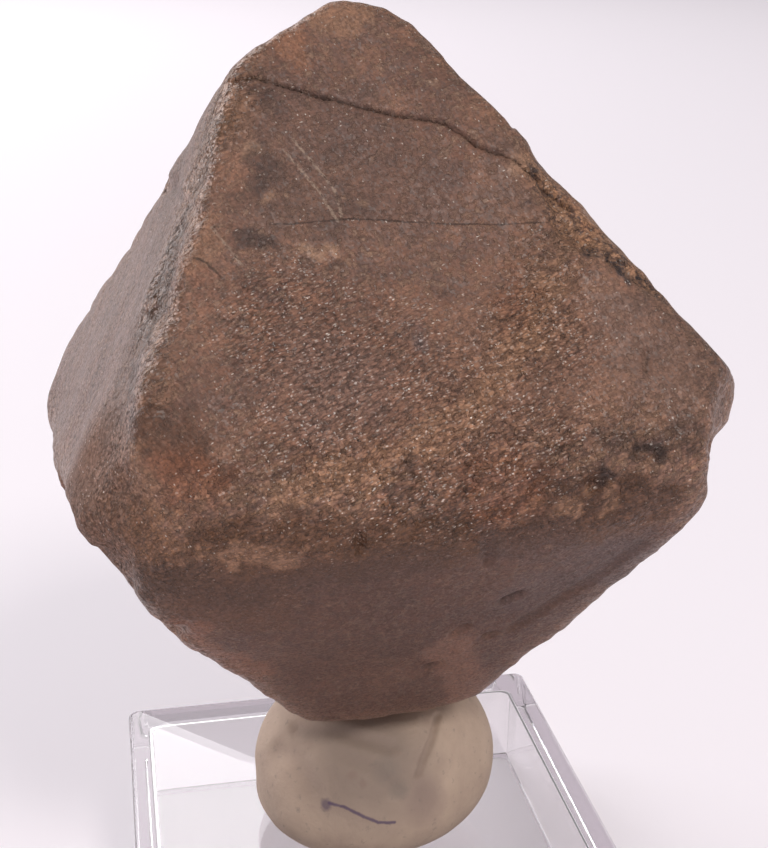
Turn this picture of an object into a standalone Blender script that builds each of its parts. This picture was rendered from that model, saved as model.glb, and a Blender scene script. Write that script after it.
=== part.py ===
"""A worn pyrochlore octahedron, held by a lump of putty on a small clear plastic stand.

Lengths here are millimetres and are turned to metres as each mesh is made. The crystal is
worked out about its own middle, with +X to its right corner, -Y to its front corner and +Z
to its top corner, and is then turned and put on the stand.
"""
from math import cos, pi, radians, sin

import bmesh
import bpy
import numpy as np
from mathutils import Euler, Matrix, Vector

MM = 0.001

# The stand is a shallow square box turned over, so it is open below
STAND_SIDE = 25.4
STAND_HEIGHT = 6.4
STAND_WALL = 1.2
STAND_EDGE = 0.4

# Where pieces touch, their meshes keep this gap
GAP = 0.3

# The crystal's middle, measured from the middle of the stand's top, and its turn in degrees
CRYSTAL_MIDDLE = (-0.25, -0.1, 24.2)
CRYSTAL_TURN = (-0.1, -4.6, -40.2)
CRYSTAL_CUTS = 25

# How crisply faces meet, and how crisply the worn corners cut them: more is sharper
EDGE_CRISPNESS = 48
CORNER_CRISPNESS = 16

# The eight octahedron faces: the way each one faces, and its distance from the middle. Two of
# the seen faces lean a few degrees from a perfect octahedron's.
FRONT = (1, -1, 1)
BELOW = (0.95, -1.03, -1.01)
LEFT = (-1.05, -1.05, 0.89)
OCTAHEDRON = {
    FRONT: 12.1,
    BELOW: 12.8,
    LEFT: 12.9,
    (-1, -1, -1): 13.1,
    (1, 1, 1): 13.7,
    (-1, 1, 1): 12.3,
    (1, 1, -1): 12.1,
    (-1, 1, -1): 12.3,
}

# Rounds worn over the corners
WORN_CORNERS = {
    (0, 0, 1): 21.1,
    (0, -1, 0): 17.9,
    (0, 1, 0): 19.4,
}

# Flats worn or broken across the other corners and along the edges
FLATS = {
    (0, 0, -1): 15.3,
    (1, 0, 0): 18.3,
    (-1, 0, 0): 16.2,
    (1, 0, 1): 15.4,
    (1, 0, -1): 15.15,
    (0, -1, -1): 15.4,
    (-1, -1, 0): 15.1,
    (-1, 0, 1): 13.3,
    (1, -1, 0): 14.2,
    (0, -1, 1): 15.75,
    (0, 1, 1): 13.75,
    (0, 1, -1): 14.6,
    (1, 1, 0): 15.8,
    (-1, 1, 0): 14.6,
    (-1, 0, -1): 14.6,
}

# Low swells all over the faces: height and length from crest to crest
SWELL_HEIGHT = 0.10
SWELL_LENGTH = 7.0
SWELL_WAVES = 14

# Growth ledges: the face, the way the step runs down, where it starts, its fall, its width
LEDGES = [
    (LEFT, (-1, -1, -2), -5.1, 0.20, 0.4),
    ((1, 1, 1), (1, -1, 0), 2.0, 0.60, 0.4),
    ((1, 1, 1), (-1, -1, 2), 6.5, 0.60, 0.4),
    ((-1, 1, 1), (1, 1, 0), 3.5, 0.65, 0.4),
    ((-1, 1, 1), (-1, 1, -2), 2.5, 0.35, 0.5),
    ((1, 1, -1), (1, 1, 2), 1.5, 0.60, 0.4),
    ((-1, 1, -1), (-1, 1, 2), 1.0, 0.70, 0.4),
    ((-1, -1, -1), (1, -1, 0), 1.5, 0.50, 0.4),
]

# Gentle second slopes on a face: the face, the way it falls, where it starts, degrees
SLOPES = [
    (FRONT, (1, 0, -1), 4.0, 2.5),
    (FRONT, (1, -1, -2), 5.6, 6.0),
    ((1, 1, -1), (0, 1, 1), 5.0, 3.0),
    ((-1, 1, 1), (-1, 0, -1), 4.0, 4.0),
]

# Chips and dents: both ends of the line they follow, their reach to each side, their depth. A
# depth below zero is a swelling.
CHIPS = [
    ((10.0, 0.8, 11.5), (14.8, 0.8, 6.6), 1.3, 0.20),
    ((18.1, 1.1, -1.0), (17.6, -0.2, -1.6), 1.0, 0.40),
    ((-3.0, -16.1, -2.6), (-2.7, -16.0, -3.0), 0.7, 0.25),
    ((-0.6, -15.8, -5.3), (-0.2, -15.6, -5.7), 0.7, 0.22),
    ((0.7, -12.2, -9.8), (1.0, -11.8, -10.2), 0.8, 0.22),
    ((5.7, 0.7, 15.3), (7.5, 0.7, 13.7), 3.0, -0.22),
    ((16.4, 1.0, 4.7), (18.0, 1.6, 2.6), 2.6, 0.25),
    ((-1.0, -7.5, 14.3), (-1.2, -12.8, 8.0), 1.8, 0.22),
    ((-0.7, -14.4, 6.8), (-1.2, -16.9, 2.5), 3.4, 0.40),
    ((-0.2, -17.7, -0.5), (4.4, -15.4, -0.8), 2.8, 0.30),
    ((-9.5, 6.0, 7.0), (-7.0, 8.5, 6.5), 4.2, 1.10),
    ((6.5, 9.0, -7.5), (9.5, 8.5, -4.5), 3.2, 0.80),
    ((-9.0, 6.0, -8.0), (-6.0, 7.0, -10.0), 3.0, 0.90),
    ((-10.0, -8.0, -5.5), (-8.0, -7.0, -8.5), 2.6, 0.60),
]

# The open crack over the top: its route on the front face, as (across, up)
CRACK_ROUTE = [
    (-5.6, 12.3),
    (-4.0, 11.6),
    (-2.4, 10.7),
    (-0.1, 9.6),
    (1.9, 8.8),
    (3.8, 8.1),
    (5.1, 6.7),
    (6.3, 6.0),
    (7.1, 5.1),
    (8.3, 3.6),
]
CRACK_WIDTH = 0.30
CRACK_DEPTH = 1.3
CRACK_PROUD = 0.8

# Small pits: face, across, up, half-length, half-width, half-depth, turn in degrees
PITS = [
    (BELOW, 3.7, 0.7, 0.8, 0.4, 0.35, 10),
    (BELOW, 1.5, -1.6, 0.7, 0.5, 0.35, 40),
    (BELOW, 5.2, -1.5, 1.9, 0.4, 0.35, 45),
    (BELOW, 8.6, 2.2, 1.6, 0.4, 0.30, 45),
    (FRONT, 9.6, -7.0, 0.8, 0.5, 0.55, 20),
    (LEFT, 6.0, 0.5, 1.2, 0.4, 0.35, -60),
    ((1, 1, 1), -3.5, -1.0, 1.3, 0.7, 0.50, 30),
    ((1, 1, 1), -6.0, -4.0, 0.8, 0.6, 0.40, -20),
    ((-1, 1, 1), 3.0, 8.0, 0.9, 0.5, 0.40, 60),
    ((-1, 1, -1), 4.0, 3.0, 1.1, 0.6, 0.45, 0),
]

# The putty: a squashed ball, flat where it is pressed on the stand, its widest line leaning
PUTTY_MIDDLE = (0.3, -0.2)
PUTTY_HALF_WIDTH = 6.4
PUTTY_HALF_DEPTH = 6.1
PUTTY_FOOT = 0.60
PUTTY_HEIGHT = 8.6
PUTTY_WAIST = 3.2
PUTTY_LEAN = 1.3
PUTTY_ROUND = 36
PUTTY_RINGS_BELOW = 4
PUTTY_RINGS_ABOVE = 9
PUTTY_SWELL = 0.07


def unit(vector):
    """The direction of a vector, or of each row of an array."""
    vector = np.asarray(vector, float)
    return vector / np.linalg.norm(vector, axis=-1, keepdims=True)


def swells(points, length, waves, seed):
    """Smooth noise from -1 to 1: a mean of sine waves that run in seeded random directions."""
    rng = np.random.default_rng(seed)
    ways = unit(rng.normal(size=(waves, 3))) * 2 * pi / (length * rng.uniform(0.7, 1.5, (waves, 1)))
    return np.sin(points @ ways.T + rng.uniform(0, 2 * pi, waves)).sum(axis=1) / waves ** 0.5


def smooth_step(value):
    """0 below 0, 1 above 1, and a smooth rise between them."""
    value = np.clip(value, 0, 1)
    return value * value * (3 - 2 * value)


def segment_distance(points, start, end):
    """Distance of each point from the straight line between two points."""
    start = np.array(start)
    along = np.array(end) - start
    share = np.clip((points - start) @ along / (along @ along), 0, 1)
    return np.linalg.norm(points - start - share[:, None] * along, axis=1)


def inverse_radii(directions, planes):
    """For each direction and plane, 1 / the distance at which the direction meets the plane."""
    return np.clip(directions @ unit(list(planes)).T, 0, None) / np.array(list(planes.values()))


def crystal_shape(directions):
    """Points of the crystal's surface, one along each direction from its middle.

    Each plane alone would be met at distance / cos(angle). The planes' inverse radii are joined
    by a high power sum, so the nearest plane wins and the edges are slightly rounded. The worn
    corners join in by a lower power, which rounds them more. The relief is then added along the
    same direction.
    """
    planes = {**OCTAHEDRON, **FLATS}
    pull = inverse_radii(directions, planes) ** EDGE_CRISPNESS
    total = pull.sum(axis=1)
    share = dict(zip(planes, (pull / total[:, None]).T))
    radius = total ** (-1 / EDGE_CRISPNESS)
    corners = (inverse_radii(directions, WORN_CORNERS) * radius[:, None]) ** CORNER_CRISPNESS
    radius = radius * (1 + corners.sum(axis=1)) ** (-1 / CORNER_CRISPNESS)
    points = directions * radius[:, None]
    radius = radius + SWELL_HEIGHT * swells(points, SWELL_LENGTH, SWELL_WAVES, seed=4)
    for face, way, start, fall, width in LEDGES:
        radius = radius - fall * share[face] * smooth_step((points @ unit(way) - start) / width)
    for face, way, start, degrees in SLOPES:
        beyond = np.clip(points @ unit(way) - start, 0, None)
        radius = radius - share[face] * beyond * sin(radians(degrees))
    for start, end, reach, depth in CHIPS:
        radius = radius - depth * smooth_step(1.3 - segment_distance(points, start, end) / reach)
    return directions * radius[:, None]


def face_place(face, across, up, height=0.0):
    """A point on a face, from how far across and up the face it is, as seen from outside."""
    normal = Vector(face).normalized()
    right = Vector((0, 0, 1)).cross(normal).normalized()
    upward = normal.cross(right)
    return normal * (OCTAHEDRON[face] + height) + right * across + upward * up


def new_object(name, mesh_data, material=None):
    """Turn a bmesh in millimetres into a named object in metres."""
    mesh = bpy.data.meshes.new(name)
    bmesh.ops.scale(mesh_data, vec=(MM, MM, MM), verts=mesh_data.verts)
    bmesh.ops.recalc_face_normals(mesh_data, faces=mesh_data.faces)
    mesh_data.to_mesh(mesh)
    mesh_data.free()
    thing = bpy.data.objects.new(name, mesh)
    bpy.context.scene.collection.objects.link(thing)
    if material:
        mesh.materials.append(material)
    return thing


def new_cutter(name, mesh_data):
    """An object that only cuts others: shown as wires and never rendered."""
    cutter = new_object(name, mesh_data)
    cutter.display_type = 'WIRE'
    cutter.hide_render = True
    return cutter


def cut(thing, cutter):
    """Take the cutter's shape out of the object."""
    boolean = thing.modifiers.new(cutter.name, 'BOOLEAN')
    boolean.operation = 'DIFFERENCE'
    boolean.solver = 'EXACT'
    boolean.object = cutter


def new_material(name, colour, roughness, transmission=0.0, ior=1.5):
    """A Principled material of one colour."""
    material = bpy.data.materials.new(name)
    material.use_nodes = True
    shader = material.node_tree.nodes['Principled BSDF']
    shader.inputs['Base Color'].default_value = (*colour, 1)
    shader.inputs['Roughness'].default_value = roughness
    shader.inputs['Metallic'].default_value = 0.0
    shader.inputs['Transmission Weight'].default_value = transmission
    shader.inputs['IOR'].default_value = ior
    return material


def put_on_crystal(thing, specimen):
    """Give an object the crystal's place and turn."""
    thing.parent = specimen
    thing.location = Vector(CRYSTAL_MIDDLE) * MM + Vector((0, 0, STAND_HEIGHT * MM))
    thing.rotation_euler = Euler([radians(angle) for angle in CRYSTAL_TURN])


def crystal_mesh(swollen=0.0):
    """The faceted crystal as a bmesh, pushed outward by a small amount if wanted."""
    mesh_data = bmesh.new()
    for axis in Matrix.Identity(3):
        mesh_data.verts.new(axis)
        mesh_data.verts.new(-axis)
    bmesh.ops.convex_hull(mesh_data, input=mesh_data.verts)
    bmesh.ops.subdivide_edges(mesh_data, edges=mesh_data.edges, cuts=CRYSTAL_CUTS, use_grid_fill=True)
    bmesh.ops.triangulate(mesh_data, faces=mesh_data.faces)
    corners = np.array([vertex.co for vertex in mesh_data.verts])
    for vertex, place in zip(mesh_data.verts, crystal_shape(unit(corners))):
        vertex.co = place
    bmesh.ops.recalc_face_normals(mesh_data, faces=mesh_data.faces)
    mesh_data.normal_update()
    pushed = [vertex.co + vertex.normal * swollen for vertex in mesh_data.verts]
    for vertex, place in zip(mesh_data.verts, pushed):
        vertex.co = place
    return mesh_data


def crack_blade():
    """A thin wedge along the crack's route: two rows above the face, and one row deep in it."""
    mesh_data = bmesh.new()
    route = [face_place(FRONT, across, up) for across, up in CRACK_ROUTE]
    normal = Vector(FRONT).normalized()
    last = len(route) - 1
    rows = []
    for step, place in enumerate(route):
        along = (route[min(step + 1, last)] - route[max(step - 1, 0)]).normalized()
        side = normal.cross(along)
        half = CRACK_WIDTH / 2 * (1 + CRACK_PROUD / CRACK_DEPTH)
        half = half * (0.25 if step in (0, last) else 1)
        top = place + normal * CRACK_PROUD
        row = (top + side * half, top - side * half, place - normal * CRACK_DEPTH)
        rows.append([mesh_data.verts.new(corner) for corner in row])
    for near, far in zip(rows, rows[1:]):
        for one, other in ((0, 1), (1, 2), (2, 0)):
            mesh_data.faces.new((near[one], near[other], far[other], far[one]))
    mesh_data.faces.new(rows[0])
    mesh_data.faces.new(rows[-1])
    bmesh.ops.triangulate(mesh_data, faces=mesh_data.faces)
    return new_cutter('crack_blade', mesh_data)


def pit_cutters():
    """One small flattened ball for each pit, sunk in its face."""
    mesh_data = bmesh.new()
    for face, across, up, length, width, depth, turn in PITS:
        normal = Vector(face).normalized()
        right = Vector((0, 0, 1)).cross(normal).normalized()
        upward = normal.cross(right)
        angle = radians(turn)
        long_way = right * cos(angle) + upward * sin(angle)
        short_way = normal.cross(long_way)
        axes = Matrix((long_way * length, short_way * width, normal * depth)).transposed().to_4x4()
        place = Matrix.Translation(face_place(face, across, up)) @ axes
        bmesh.ops.create_icosphere(mesh_data, subdivisions=2, radius=1.0, matrix=place)
    return new_cutter('pit_cutters', mesh_data)


def pyrochlore_crystal(specimen):
    """The crystal: an octahedron with worn corners, ledges, chips, pits and an open crack."""
    brown = new_material('pyrochlore', (0.150, 0.095, 0.072), 0.62)
    crystal = new_object('pyrochlore_crystal', crystal_mesh(), brown)
    put_on_crystal(crystal, specimen)
    for cutter in (crack_blade(), pit_cutters()):
        put_on_crystal(cutter, specimen)
        cut(crystal, cutter)
    return crystal


def putty_profile():
    """Each ring of the lump, from the foot up: its radius share, and how much of the way up it
    has gone, first to the waist and then from there to the top."""
    rings = []
    for ring in range(PUTTY_RINGS_BELOW):
        angle = pi / 2 * ring / PUTTY_RINGS_BELOW
        rings.append((PUTTY_FOOT + (1 - PUTTY_FOOT) * sin(angle), 1 - cos(angle), 0.0))
    for ring in range(PUTTY_RINGS_ABOVE):
        angle = pi / 2 * ring / PUTTY_RINGS_ABOVE
        rings.append((cos(angle) ** 0.8, 1.0, sin(angle)))
    return rings


def putty(specimen):
    """The lump of putty: rings stacked on a flat foot, with the crystal's end pressed into it."""
    mesh_data = bmesh.new()
    rings = []
    angles = np.arange(PUTTY_ROUND) * 2 * pi / PUTTY_ROUND
    waist = PUTTY_WAIST + PUTTY_LEAN * np.cos(angles)
    for share, low, high in putty_profile():
        points = np.stack([np.cos(angles) * share * PUTTY_HALF_WIDTH,
                           np.sin(angles) * share * PUTTY_HALF_DEPTH,
                           low * waist + high * (PUTTY_HEIGHT - waist)], axis=1)
        points[:, :2] *= 1 + PUTTY_SWELL / 2 * swells(points, PUTTY_HALF_WIDTH, SWELL_WAVES, 9)[:, None]
        points += np.array([*PUTTY_MIDDLE, STAND_HEIGHT + GAP])
        rings.append([mesh_data.verts.new(point) for point in points])
    for lower, upper in zip(rings, rings[1:]):
        for here in range(PUTTY_ROUND):
            there = (here + 1) % PUTTY_ROUND
            mesh_data.faces.new((lower[here], lower[there], upper[there], upper[here]))
    mesh_data.faces.new(rings[0][::-1])
    top = mesh_data.verts.new((*PUTTY_MIDDLE, STAND_HEIGHT + GAP + PUTTY_HEIGHT))
    for here in range(PUTTY_ROUND):
        mesh_data.faces.new((rings[-1][here], rings[-1][(here + 1) % PUTTY_ROUND], top))
    grey = new_material('mineral_putty', (0.330, 0.250, 0.200), 0.85)
    lump = new_object('putty', mesh_data, grey)
    lump.data.shade_smooth()
    lump.parent = specimen
    pressed_end = new_cutter('pressed_end', crystal_mesh(swollen=GAP))
    put_on_crystal(pressed_end, specimen)
    cut(lump, pressed_end)
    return lump


def box(side, low, high):
    """A square box about the upright axis, between two heights."""
    mesh_data = bmesh.new()
    bmesh.ops.create_cube(mesh_data, size=1.0)
    bmesh.ops.scale(mesh_data, vec=(side, side, high - low), verts=mesh_data.verts)
    bmesh.ops.translate(mesh_data, vec=(0, 0, (low + high) / 2), verts=mesh_data.verts)
    return mesh_data


def display_base(specimen):
    """The clear stand: a square tray turned over, its outer edges slightly rounded."""
    clear = new_material('clear_plastic', (0.95, 0.95, 0.97), 0.03, transmission=1.0, ior=1.57)
    shell = box(STAND_SIDE, 0, STAND_HEIGHT)
    rounded = [edge for edge in shell.edges if max(vertex.co.z for vertex in edge.verts) > 0.1]
    bmesh.ops.bevel(shell, geom=rounded, offset=STAND_EDGE, segments=2, profile=0.5,
                    affect='EDGES')
    stand = new_object('display_base', shell, clear)
    stand.parent = specimen
    inner_side = STAND_SIDE - 2 * STAND_WALL
    hollow = new_cutter('stand_hollow', box(inner_side, -STAND_WALL, STAND_HEIGHT - STAND_WALL))
    hollow.parent = specimen
    cut(stand, hollow)
    return stand


def stand_on_origin(specimen, things):
    """Move everything so that the middle of the whole thing's footprint box is at the origin."""
    bpy.context.view_layer.update()
    corners = np.array([thing.matrix_world @ vertex.co for thing in things
                        for vertex in thing.data.vertices])
    middle = (corners.min(axis=0) + corners.max(axis=0)) / 2
    specimen.location = (-middle[0], -middle[1], -corners[:, 2].min())


def clear_scene():
    """Remove whatever the scene holds."""
    for thing in list(bpy.data.objects):
        bpy.data.objects.remove(thing)


def main():
    clear_scene()
    specimen = bpy.data.objects.new('specimen', None)
    bpy.context.scene.collection.objects.link(specimen)
    things = [display_base(specimen), putty(specimen), pyrochlore_crystal(specimen)]
    stand_on_origin(specimen, things)


main()
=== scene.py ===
# %% [markdown]
# A pyrochlore crystal on its stand. The real specimen is three things: a worn brown octahedron
# about 35 mm tall, a lump of mineral putty that grips its lower end, and a one inch clear
# plastic stand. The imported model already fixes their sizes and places. This file gives each
# piece its fine surface and its finish, and sets up a pale floor, soft light and the camera.

# %% Load the fixed frame
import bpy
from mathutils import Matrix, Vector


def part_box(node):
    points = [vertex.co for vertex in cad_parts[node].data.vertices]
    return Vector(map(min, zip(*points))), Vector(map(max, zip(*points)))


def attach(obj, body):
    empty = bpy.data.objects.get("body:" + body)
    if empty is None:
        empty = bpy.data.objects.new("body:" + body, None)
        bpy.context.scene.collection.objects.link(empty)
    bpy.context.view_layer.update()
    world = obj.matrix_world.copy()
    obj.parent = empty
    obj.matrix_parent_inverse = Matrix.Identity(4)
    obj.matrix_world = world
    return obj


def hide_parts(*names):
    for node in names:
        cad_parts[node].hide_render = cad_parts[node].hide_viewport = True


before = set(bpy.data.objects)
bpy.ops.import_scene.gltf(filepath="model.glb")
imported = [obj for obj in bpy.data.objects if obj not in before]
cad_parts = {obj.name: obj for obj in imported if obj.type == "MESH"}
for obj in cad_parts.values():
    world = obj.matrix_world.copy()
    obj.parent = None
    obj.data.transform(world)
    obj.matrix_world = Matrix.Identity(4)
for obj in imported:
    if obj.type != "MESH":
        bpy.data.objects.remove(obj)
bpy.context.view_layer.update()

# %% Tools and units
import itertools
from math import cos, pi, radians, sin
from types import SimpleNamespace

import bpy
import numpy as np
from mathutils import Euler, Matrix, Vector

MM = 0.001
stand_low, stand_high = (np.array(corner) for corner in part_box("display_base"))
stand_top = np.array([*(stand_low + stand_high)[:2] / 2, stand_high[2]]) / MM
print("middle of the stand's top, mm:", stand_top.round(2))

# %% [markdown]
# The camera. The photograph was taken from close by, a little from the left and above, so its
# perspective is strong. The edges of the square stand gave the place, the pitch and the
# heading of the lens. They are kept here as real distances from the middle of the stand's top.

# %% Camera
PHOTO_WIDTH, PHOTO_HEIGHT = 768, 848
FOCAL_PIXELS = 1435
CAMERA_FROM_STAND = np.array([-11.7, -66.5, 48.1])
CAMERA_PITCH = radians(20.53)
CAMERA_HEADING = radians(10.9)
SENSOR = 36.0

camera_place = stand_top + CAMERA_FROM_STAND
camera_turn = Euler((pi / 2 - CAMERA_PITCH, 0, -CAMERA_HEADING)).to_matrix()


def make_camera():
    lens = bpy.data.cameras.new("camera")
    lens.sensor_width = SENSOR
    lens.lens = FOCAL_PIXELS * SENSOR / max(PHOTO_WIDTH, PHOTO_HEIGHT)
    lens.clip_start = 5 * MM
    lens.clip_end = 20
    camera = bpy.data.objects.new("camera", lens)
    camera.matrix_world = Matrix.Translation(camera_place * MM) @ camera_turn.to_4x4()
    bpy.context.scene.collection.objects.link(camera)
    bpy.context.scene.camera = camera
    return camera


camera = make_camera()
print("lens, mm:", round(camera.data.lens, 1))

# %% [markdown]
# Light and floor. The photograph has a pale, almost burnt-out ground, brightest far away, and
# soft light from above and a little from the right. The floor glows a little, as a light
# table does, and a white sky fills the rest. Three area lights add direction: one high at the
# right, one at the left behind, and one that brightens the far floor.

# %% Floor and lights
FLOOR_HALF = 3.0
FLOOR_COLOUR = (0.72, 0.672, 0.71)
FLOOR_GLOW = 0.34
SKY_COLOUR = (1.0, 0.975, 1.0)
SKY_STRENGTH = 0.28
FLOOR_ROUGHNESS = 0.7

# Area lights: name, place and aim in metres, size, watts, colour
LIGHTS = [
    ("key", (0.11, -0.32, 0.35), (0, 0, 0.03), 0.10, 1.00, (1.0, 0.97, 0.93)),
    ("left_glow", (-0.45, 0.40, 0.30), (0, 0, 0.03), 0.5, 2.5, (0.97, 0.97, 1.0)),
    ("far_floor", (-0.22, 0.73, 0.53), (-0.10, 0.48, 0.0), 0.6, 3.2, (1.0, 0.99, 1.0)),
]


def floor_material():
    material = bpy.data.materials.new("pale_floor")
    material.use_nodes = True
    shader = material.node_tree.nodes["Principled BSDF"]
    shader.inputs["Base Color"].default_value = (*FLOOR_COLOUR, 1)
    shader.inputs["Roughness"].default_value = FLOOR_ROUGHNESS
    shader.inputs["Emission Color"].default_value = (*FLOOR_COLOUR, 1)
    shader.inputs["Emission Strength"].default_value = FLOOR_GLOW
    return material


def make_floor():
    mesh = bpy.data.meshes.new("floor")
    corners = [(-FLOOR_HALF, -FLOOR_HALF, 0), (FLOOR_HALF, -FLOOR_HALF, 0),
               (FLOOR_HALF, FLOOR_HALF, 0), (-FLOOR_HALF, FLOOR_HALF, 0)]
    mesh.from_pydata(corners, [], [(0, 1, 2, 3)])
    mesh.materials.append(floor_material())
    floor = bpy.data.objects.new("floor", mesh)
    bpy.context.scene.collection.objects.link(floor)


def make_area_light(name, place, aim, size, power, colour):
    data = bpy.data.lights.new(name, "AREA")
    data.size = size
    data.energy = power
    data.color = colour
    light = bpy.data.objects.new(name, data)
    light.location = place
    light.rotation_euler = (Vector(aim) - Vector(place)).to_track_quat("-Z", "Y").to_euler()
    bpy.context.scene.collection.objects.link(light)


def make_sky():
    world = bpy.data.worlds.new("sky")
    bpy.context.scene.world = world
    world.use_nodes = True
    background = world.node_tree.nodes["Background"]
    background.inputs["Color"].default_value = (*SKY_COLOUR, 1)
    background.inputs["Strength"].default_value = SKY_STRENGTH


make_floor()
make_sky()
for light in LIGHTS:
    make_area_light(*light)
bpy.context.scene.view_settings.view_transform = "Standard"
print("area lights:", ", ".join(light[0] for light in LIGHTS))

# %% [markdown]
# Every new piece is a surface worked out with numpy: a function of two parameters on a grid.
# These helpers put such arrays in a mesh, with the object at the origin and its place in the
# mesh, and make smooth noise for whole arrays of points at once.

# %% Helpers for surfaces
NOISE_TABLE_SIZE = 4096
NOISE_PRIMES = np.array([73856093, 19349663, 83492791])


def mesh_object(name, points, faces):
    """A mesh object from an array of points in millimetres and an array of faces."""
    mesh = bpy.data.meshes.new(name)
    mesh.from_pydata(points * MM, [], faces)
    mesh.update()
    mesh.shade_smooth()
    piece = bpy.data.objects.new(name, mesh)
    bpy.context.scene.collection.objects.link(piece)
    print(name, "has", len(points), "points and", len(faces), "faces")
    return piece


def keep_on_points(piece, name, values):
    """Store one number per point, for a material to read as an attribute."""
    values = np.ascontiguousarray(values, dtype=np.float32)
    piece.data.attributes.new(name, "FLOAT", "POINT").data.foreach_set("value", values)


def keep_colour_on_points(piece, name, colours):
    """Store one colour per point, for a material to read as an attribute."""
    values = np.column_stack([colours, np.ones(len(colours))]).astype(np.float32)
    attribute = piece.data.attributes.new(name, "FLOAT_COLOR", "POINT")
    attribute.data.foreach_set("color", values.ravel())


def unit(vector):
    """The direction of a vector, or of each row of an array."""
    vector = np.asarray(vector, float)
    return vector / np.linalg.norm(vector, axis=-1, keepdims=True)


def smooth_step(value):
    """0 below 0, 1 above 1, and the smooth rise 3 v^2 - 2 v^3 between them."""
    value = np.clip(value, 0, 1)
    return value * value * (3 - 2 * value)


def swells(points, length, waves, seed):
    """Smooth noise from -1 to 1: a mean of sine waves that run in seeded random directions."""
    rng = np.random.default_rng(seed)
    ways = unit(rng.normal(size=(waves, 3))) * 2 * pi / (length * rng.uniform(0.7, 1.5, (waves, 1)))
    return np.sin(points @ ways.T + rng.uniform(0, 2 * pi, waves)).sum(axis=1) / waves ** 0.5


def lattice_noise(points, size, seed):
    """Rougher noise from -1 to 1: random numbers on a cubic lattice, blended between corners."""
    table = np.random.default_rng(seed).uniform(-1, 1, NOISE_TABLE_SIZE)
    cell = points / size
    base = np.floor(cell).astype(np.int64)
    part = smooth_step(cell - base)
    total = np.zeros(len(points))
    for corner in itertools.product((0, 1), repeat=3):
        key = (base + corner) @ NOISE_PRIMES % NOISE_TABLE_SIZE
        total += np.where(corner, part, 1 - part).prod(axis=1) * table[key]
    return total


def nearest_on_route(points, route):
    """For each point: its distance to a line of straight runs, the nearest place on the line,
    and the share of the way along it."""
    best = np.full(len(points), np.inf)
    foot = np.zeros_like(points)
    share = np.zeros(len(points))
    lengths = np.linalg.norm(np.diff(route, axis=0), axis=1)
    reached = np.concatenate([[0], np.cumsum(lengths)]) / lengths.sum()
    for run, (start, end) in enumerate(zip(route, route[1:])):
        along = end - start
        part = np.clip((points - start) @ along / (along @ along), 0, 1)
        place = start + part[:, None] * along
        distance = np.linalg.norm(points - place, axis=1)
        closer = distance < best
        best = np.where(closer, distance, best)
        foot[closer] = place[closer]
        share = np.where(closer, reached[run] + part * (reached[run + 1] - reached[run]), share)
    return best, foot, share


print("smooth step, a quarter of the way up:", smooth_step(0.25))

# %% [markdown]
# The crystal. Pyrochlore grows as octahedra. This one has eight faces, corners worn round,
# and edges worn flat in places. A subdivided and sculpted ball could give it, but the planes
# would be lost. Here they are kept as numbers: which way each plane looks, and how many
# millimetres it is from the middle. The same numbers make the solid model, so the two agree.

# %% The crystal's planes
CRYSTAL_MIDDLE = stand_top + np.array([-0.25, -0.1, 24.2])
CRYSTAL_TURN = np.array(Euler([radians(angle) for angle in (-0.1, -4.6, -40.2)]).to_matrix())

EDGE_CRISPNESS = 48
CORNER_CRISPNESS = 16
CHIP_BOWL = 1.3
FRONT = (1, -1, 1)
BELOW = (0.95, -1.03, -1.01)
LEFT = (-1.05, -1.05, 0.89)
OCTAHEDRON = {
    FRONT: 12.1,
    BELOW: 12.8,
    LEFT: 12.9,
    (-1, -1, -1): 13.1,
    (1, 1, 1): 13.7,
    (-1, 1, 1): 12.3,
    (1, 1, -1): 12.1,
    (-1, 1, -1): 12.3,
}
WORN_CORNERS = {
    (0, 0, 1): 21.1,
    (0, -1, 0): 17.9,
    (0, 1, 0): 19.4,
}
FLATS = {
    (0, 0, -1): 15.3,
    (1, 0, 0): 18.3,
    (-1, 0, 0): 16.2,
    (1, 0, 1): 15.4,
    (1, 0, -1): 15.15,
    (0, -1, -1): 15.4,
    (-1, -1, 0): 15.1,
    (-1, 0, 1): 13.3,
    (1, -1, 0): 14.2,
    (0, -1, 1): 15.75,
    (0, 1, 1): 13.75,
    (0, 1, -1): 14.6,
    (1, 1, 0): 15.8,
    (-1, 1, 0): 14.6,
    (-1, 0, -1): 14.6,
}
SWELL_HEIGHT = 0.10
SWELL_LENGTH = 7.0
SWELL_WAVES = 14

# Growth ledges: the face, the way the step runs down, where it starts, its fall, its width
LEDGES = [
    (LEFT, (-1, -1, -2), -5.1, 0.20, 0.20),
    ((1, 1, 1), (1, -1, 0), 2.0, 0.60, 0.25),
    ((1, 1, 1), (-1, -1, 2), 6.5, 0.60, 0.25),
    ((-1, 1, 1), (1, 1, 0), 3.5, 0.65, 0.25),
    ((-1, 1, 1), (-1, 1, -2), 2.5, 0.35, 0.25),
    ((1, 1, -1), (1, 1, 2), 1.5, 0.60, 0.25),
    ((-1, 1, -1), (-1, 1, 2), 1.0, 0.70, 0.25),
    ((-1, -1, -1), (1, -1, 0), 1.5, 0.50, 0.25),
]

# Gentle second slopes on a face: the face, the way it falls, where it starts, degrees
SLOPES = [
    (FRONT, (1, 0, -1), 4.0, 2.5),
    (FRONT, (1, -1, -2), 5.6, 6.0),
    ((1, 1, -1), (0, 1, 1), 5.0, 3.0),
    ((-1, 1, 1), (-1, 0, -1), 4.0, 4.0),
]

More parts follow.
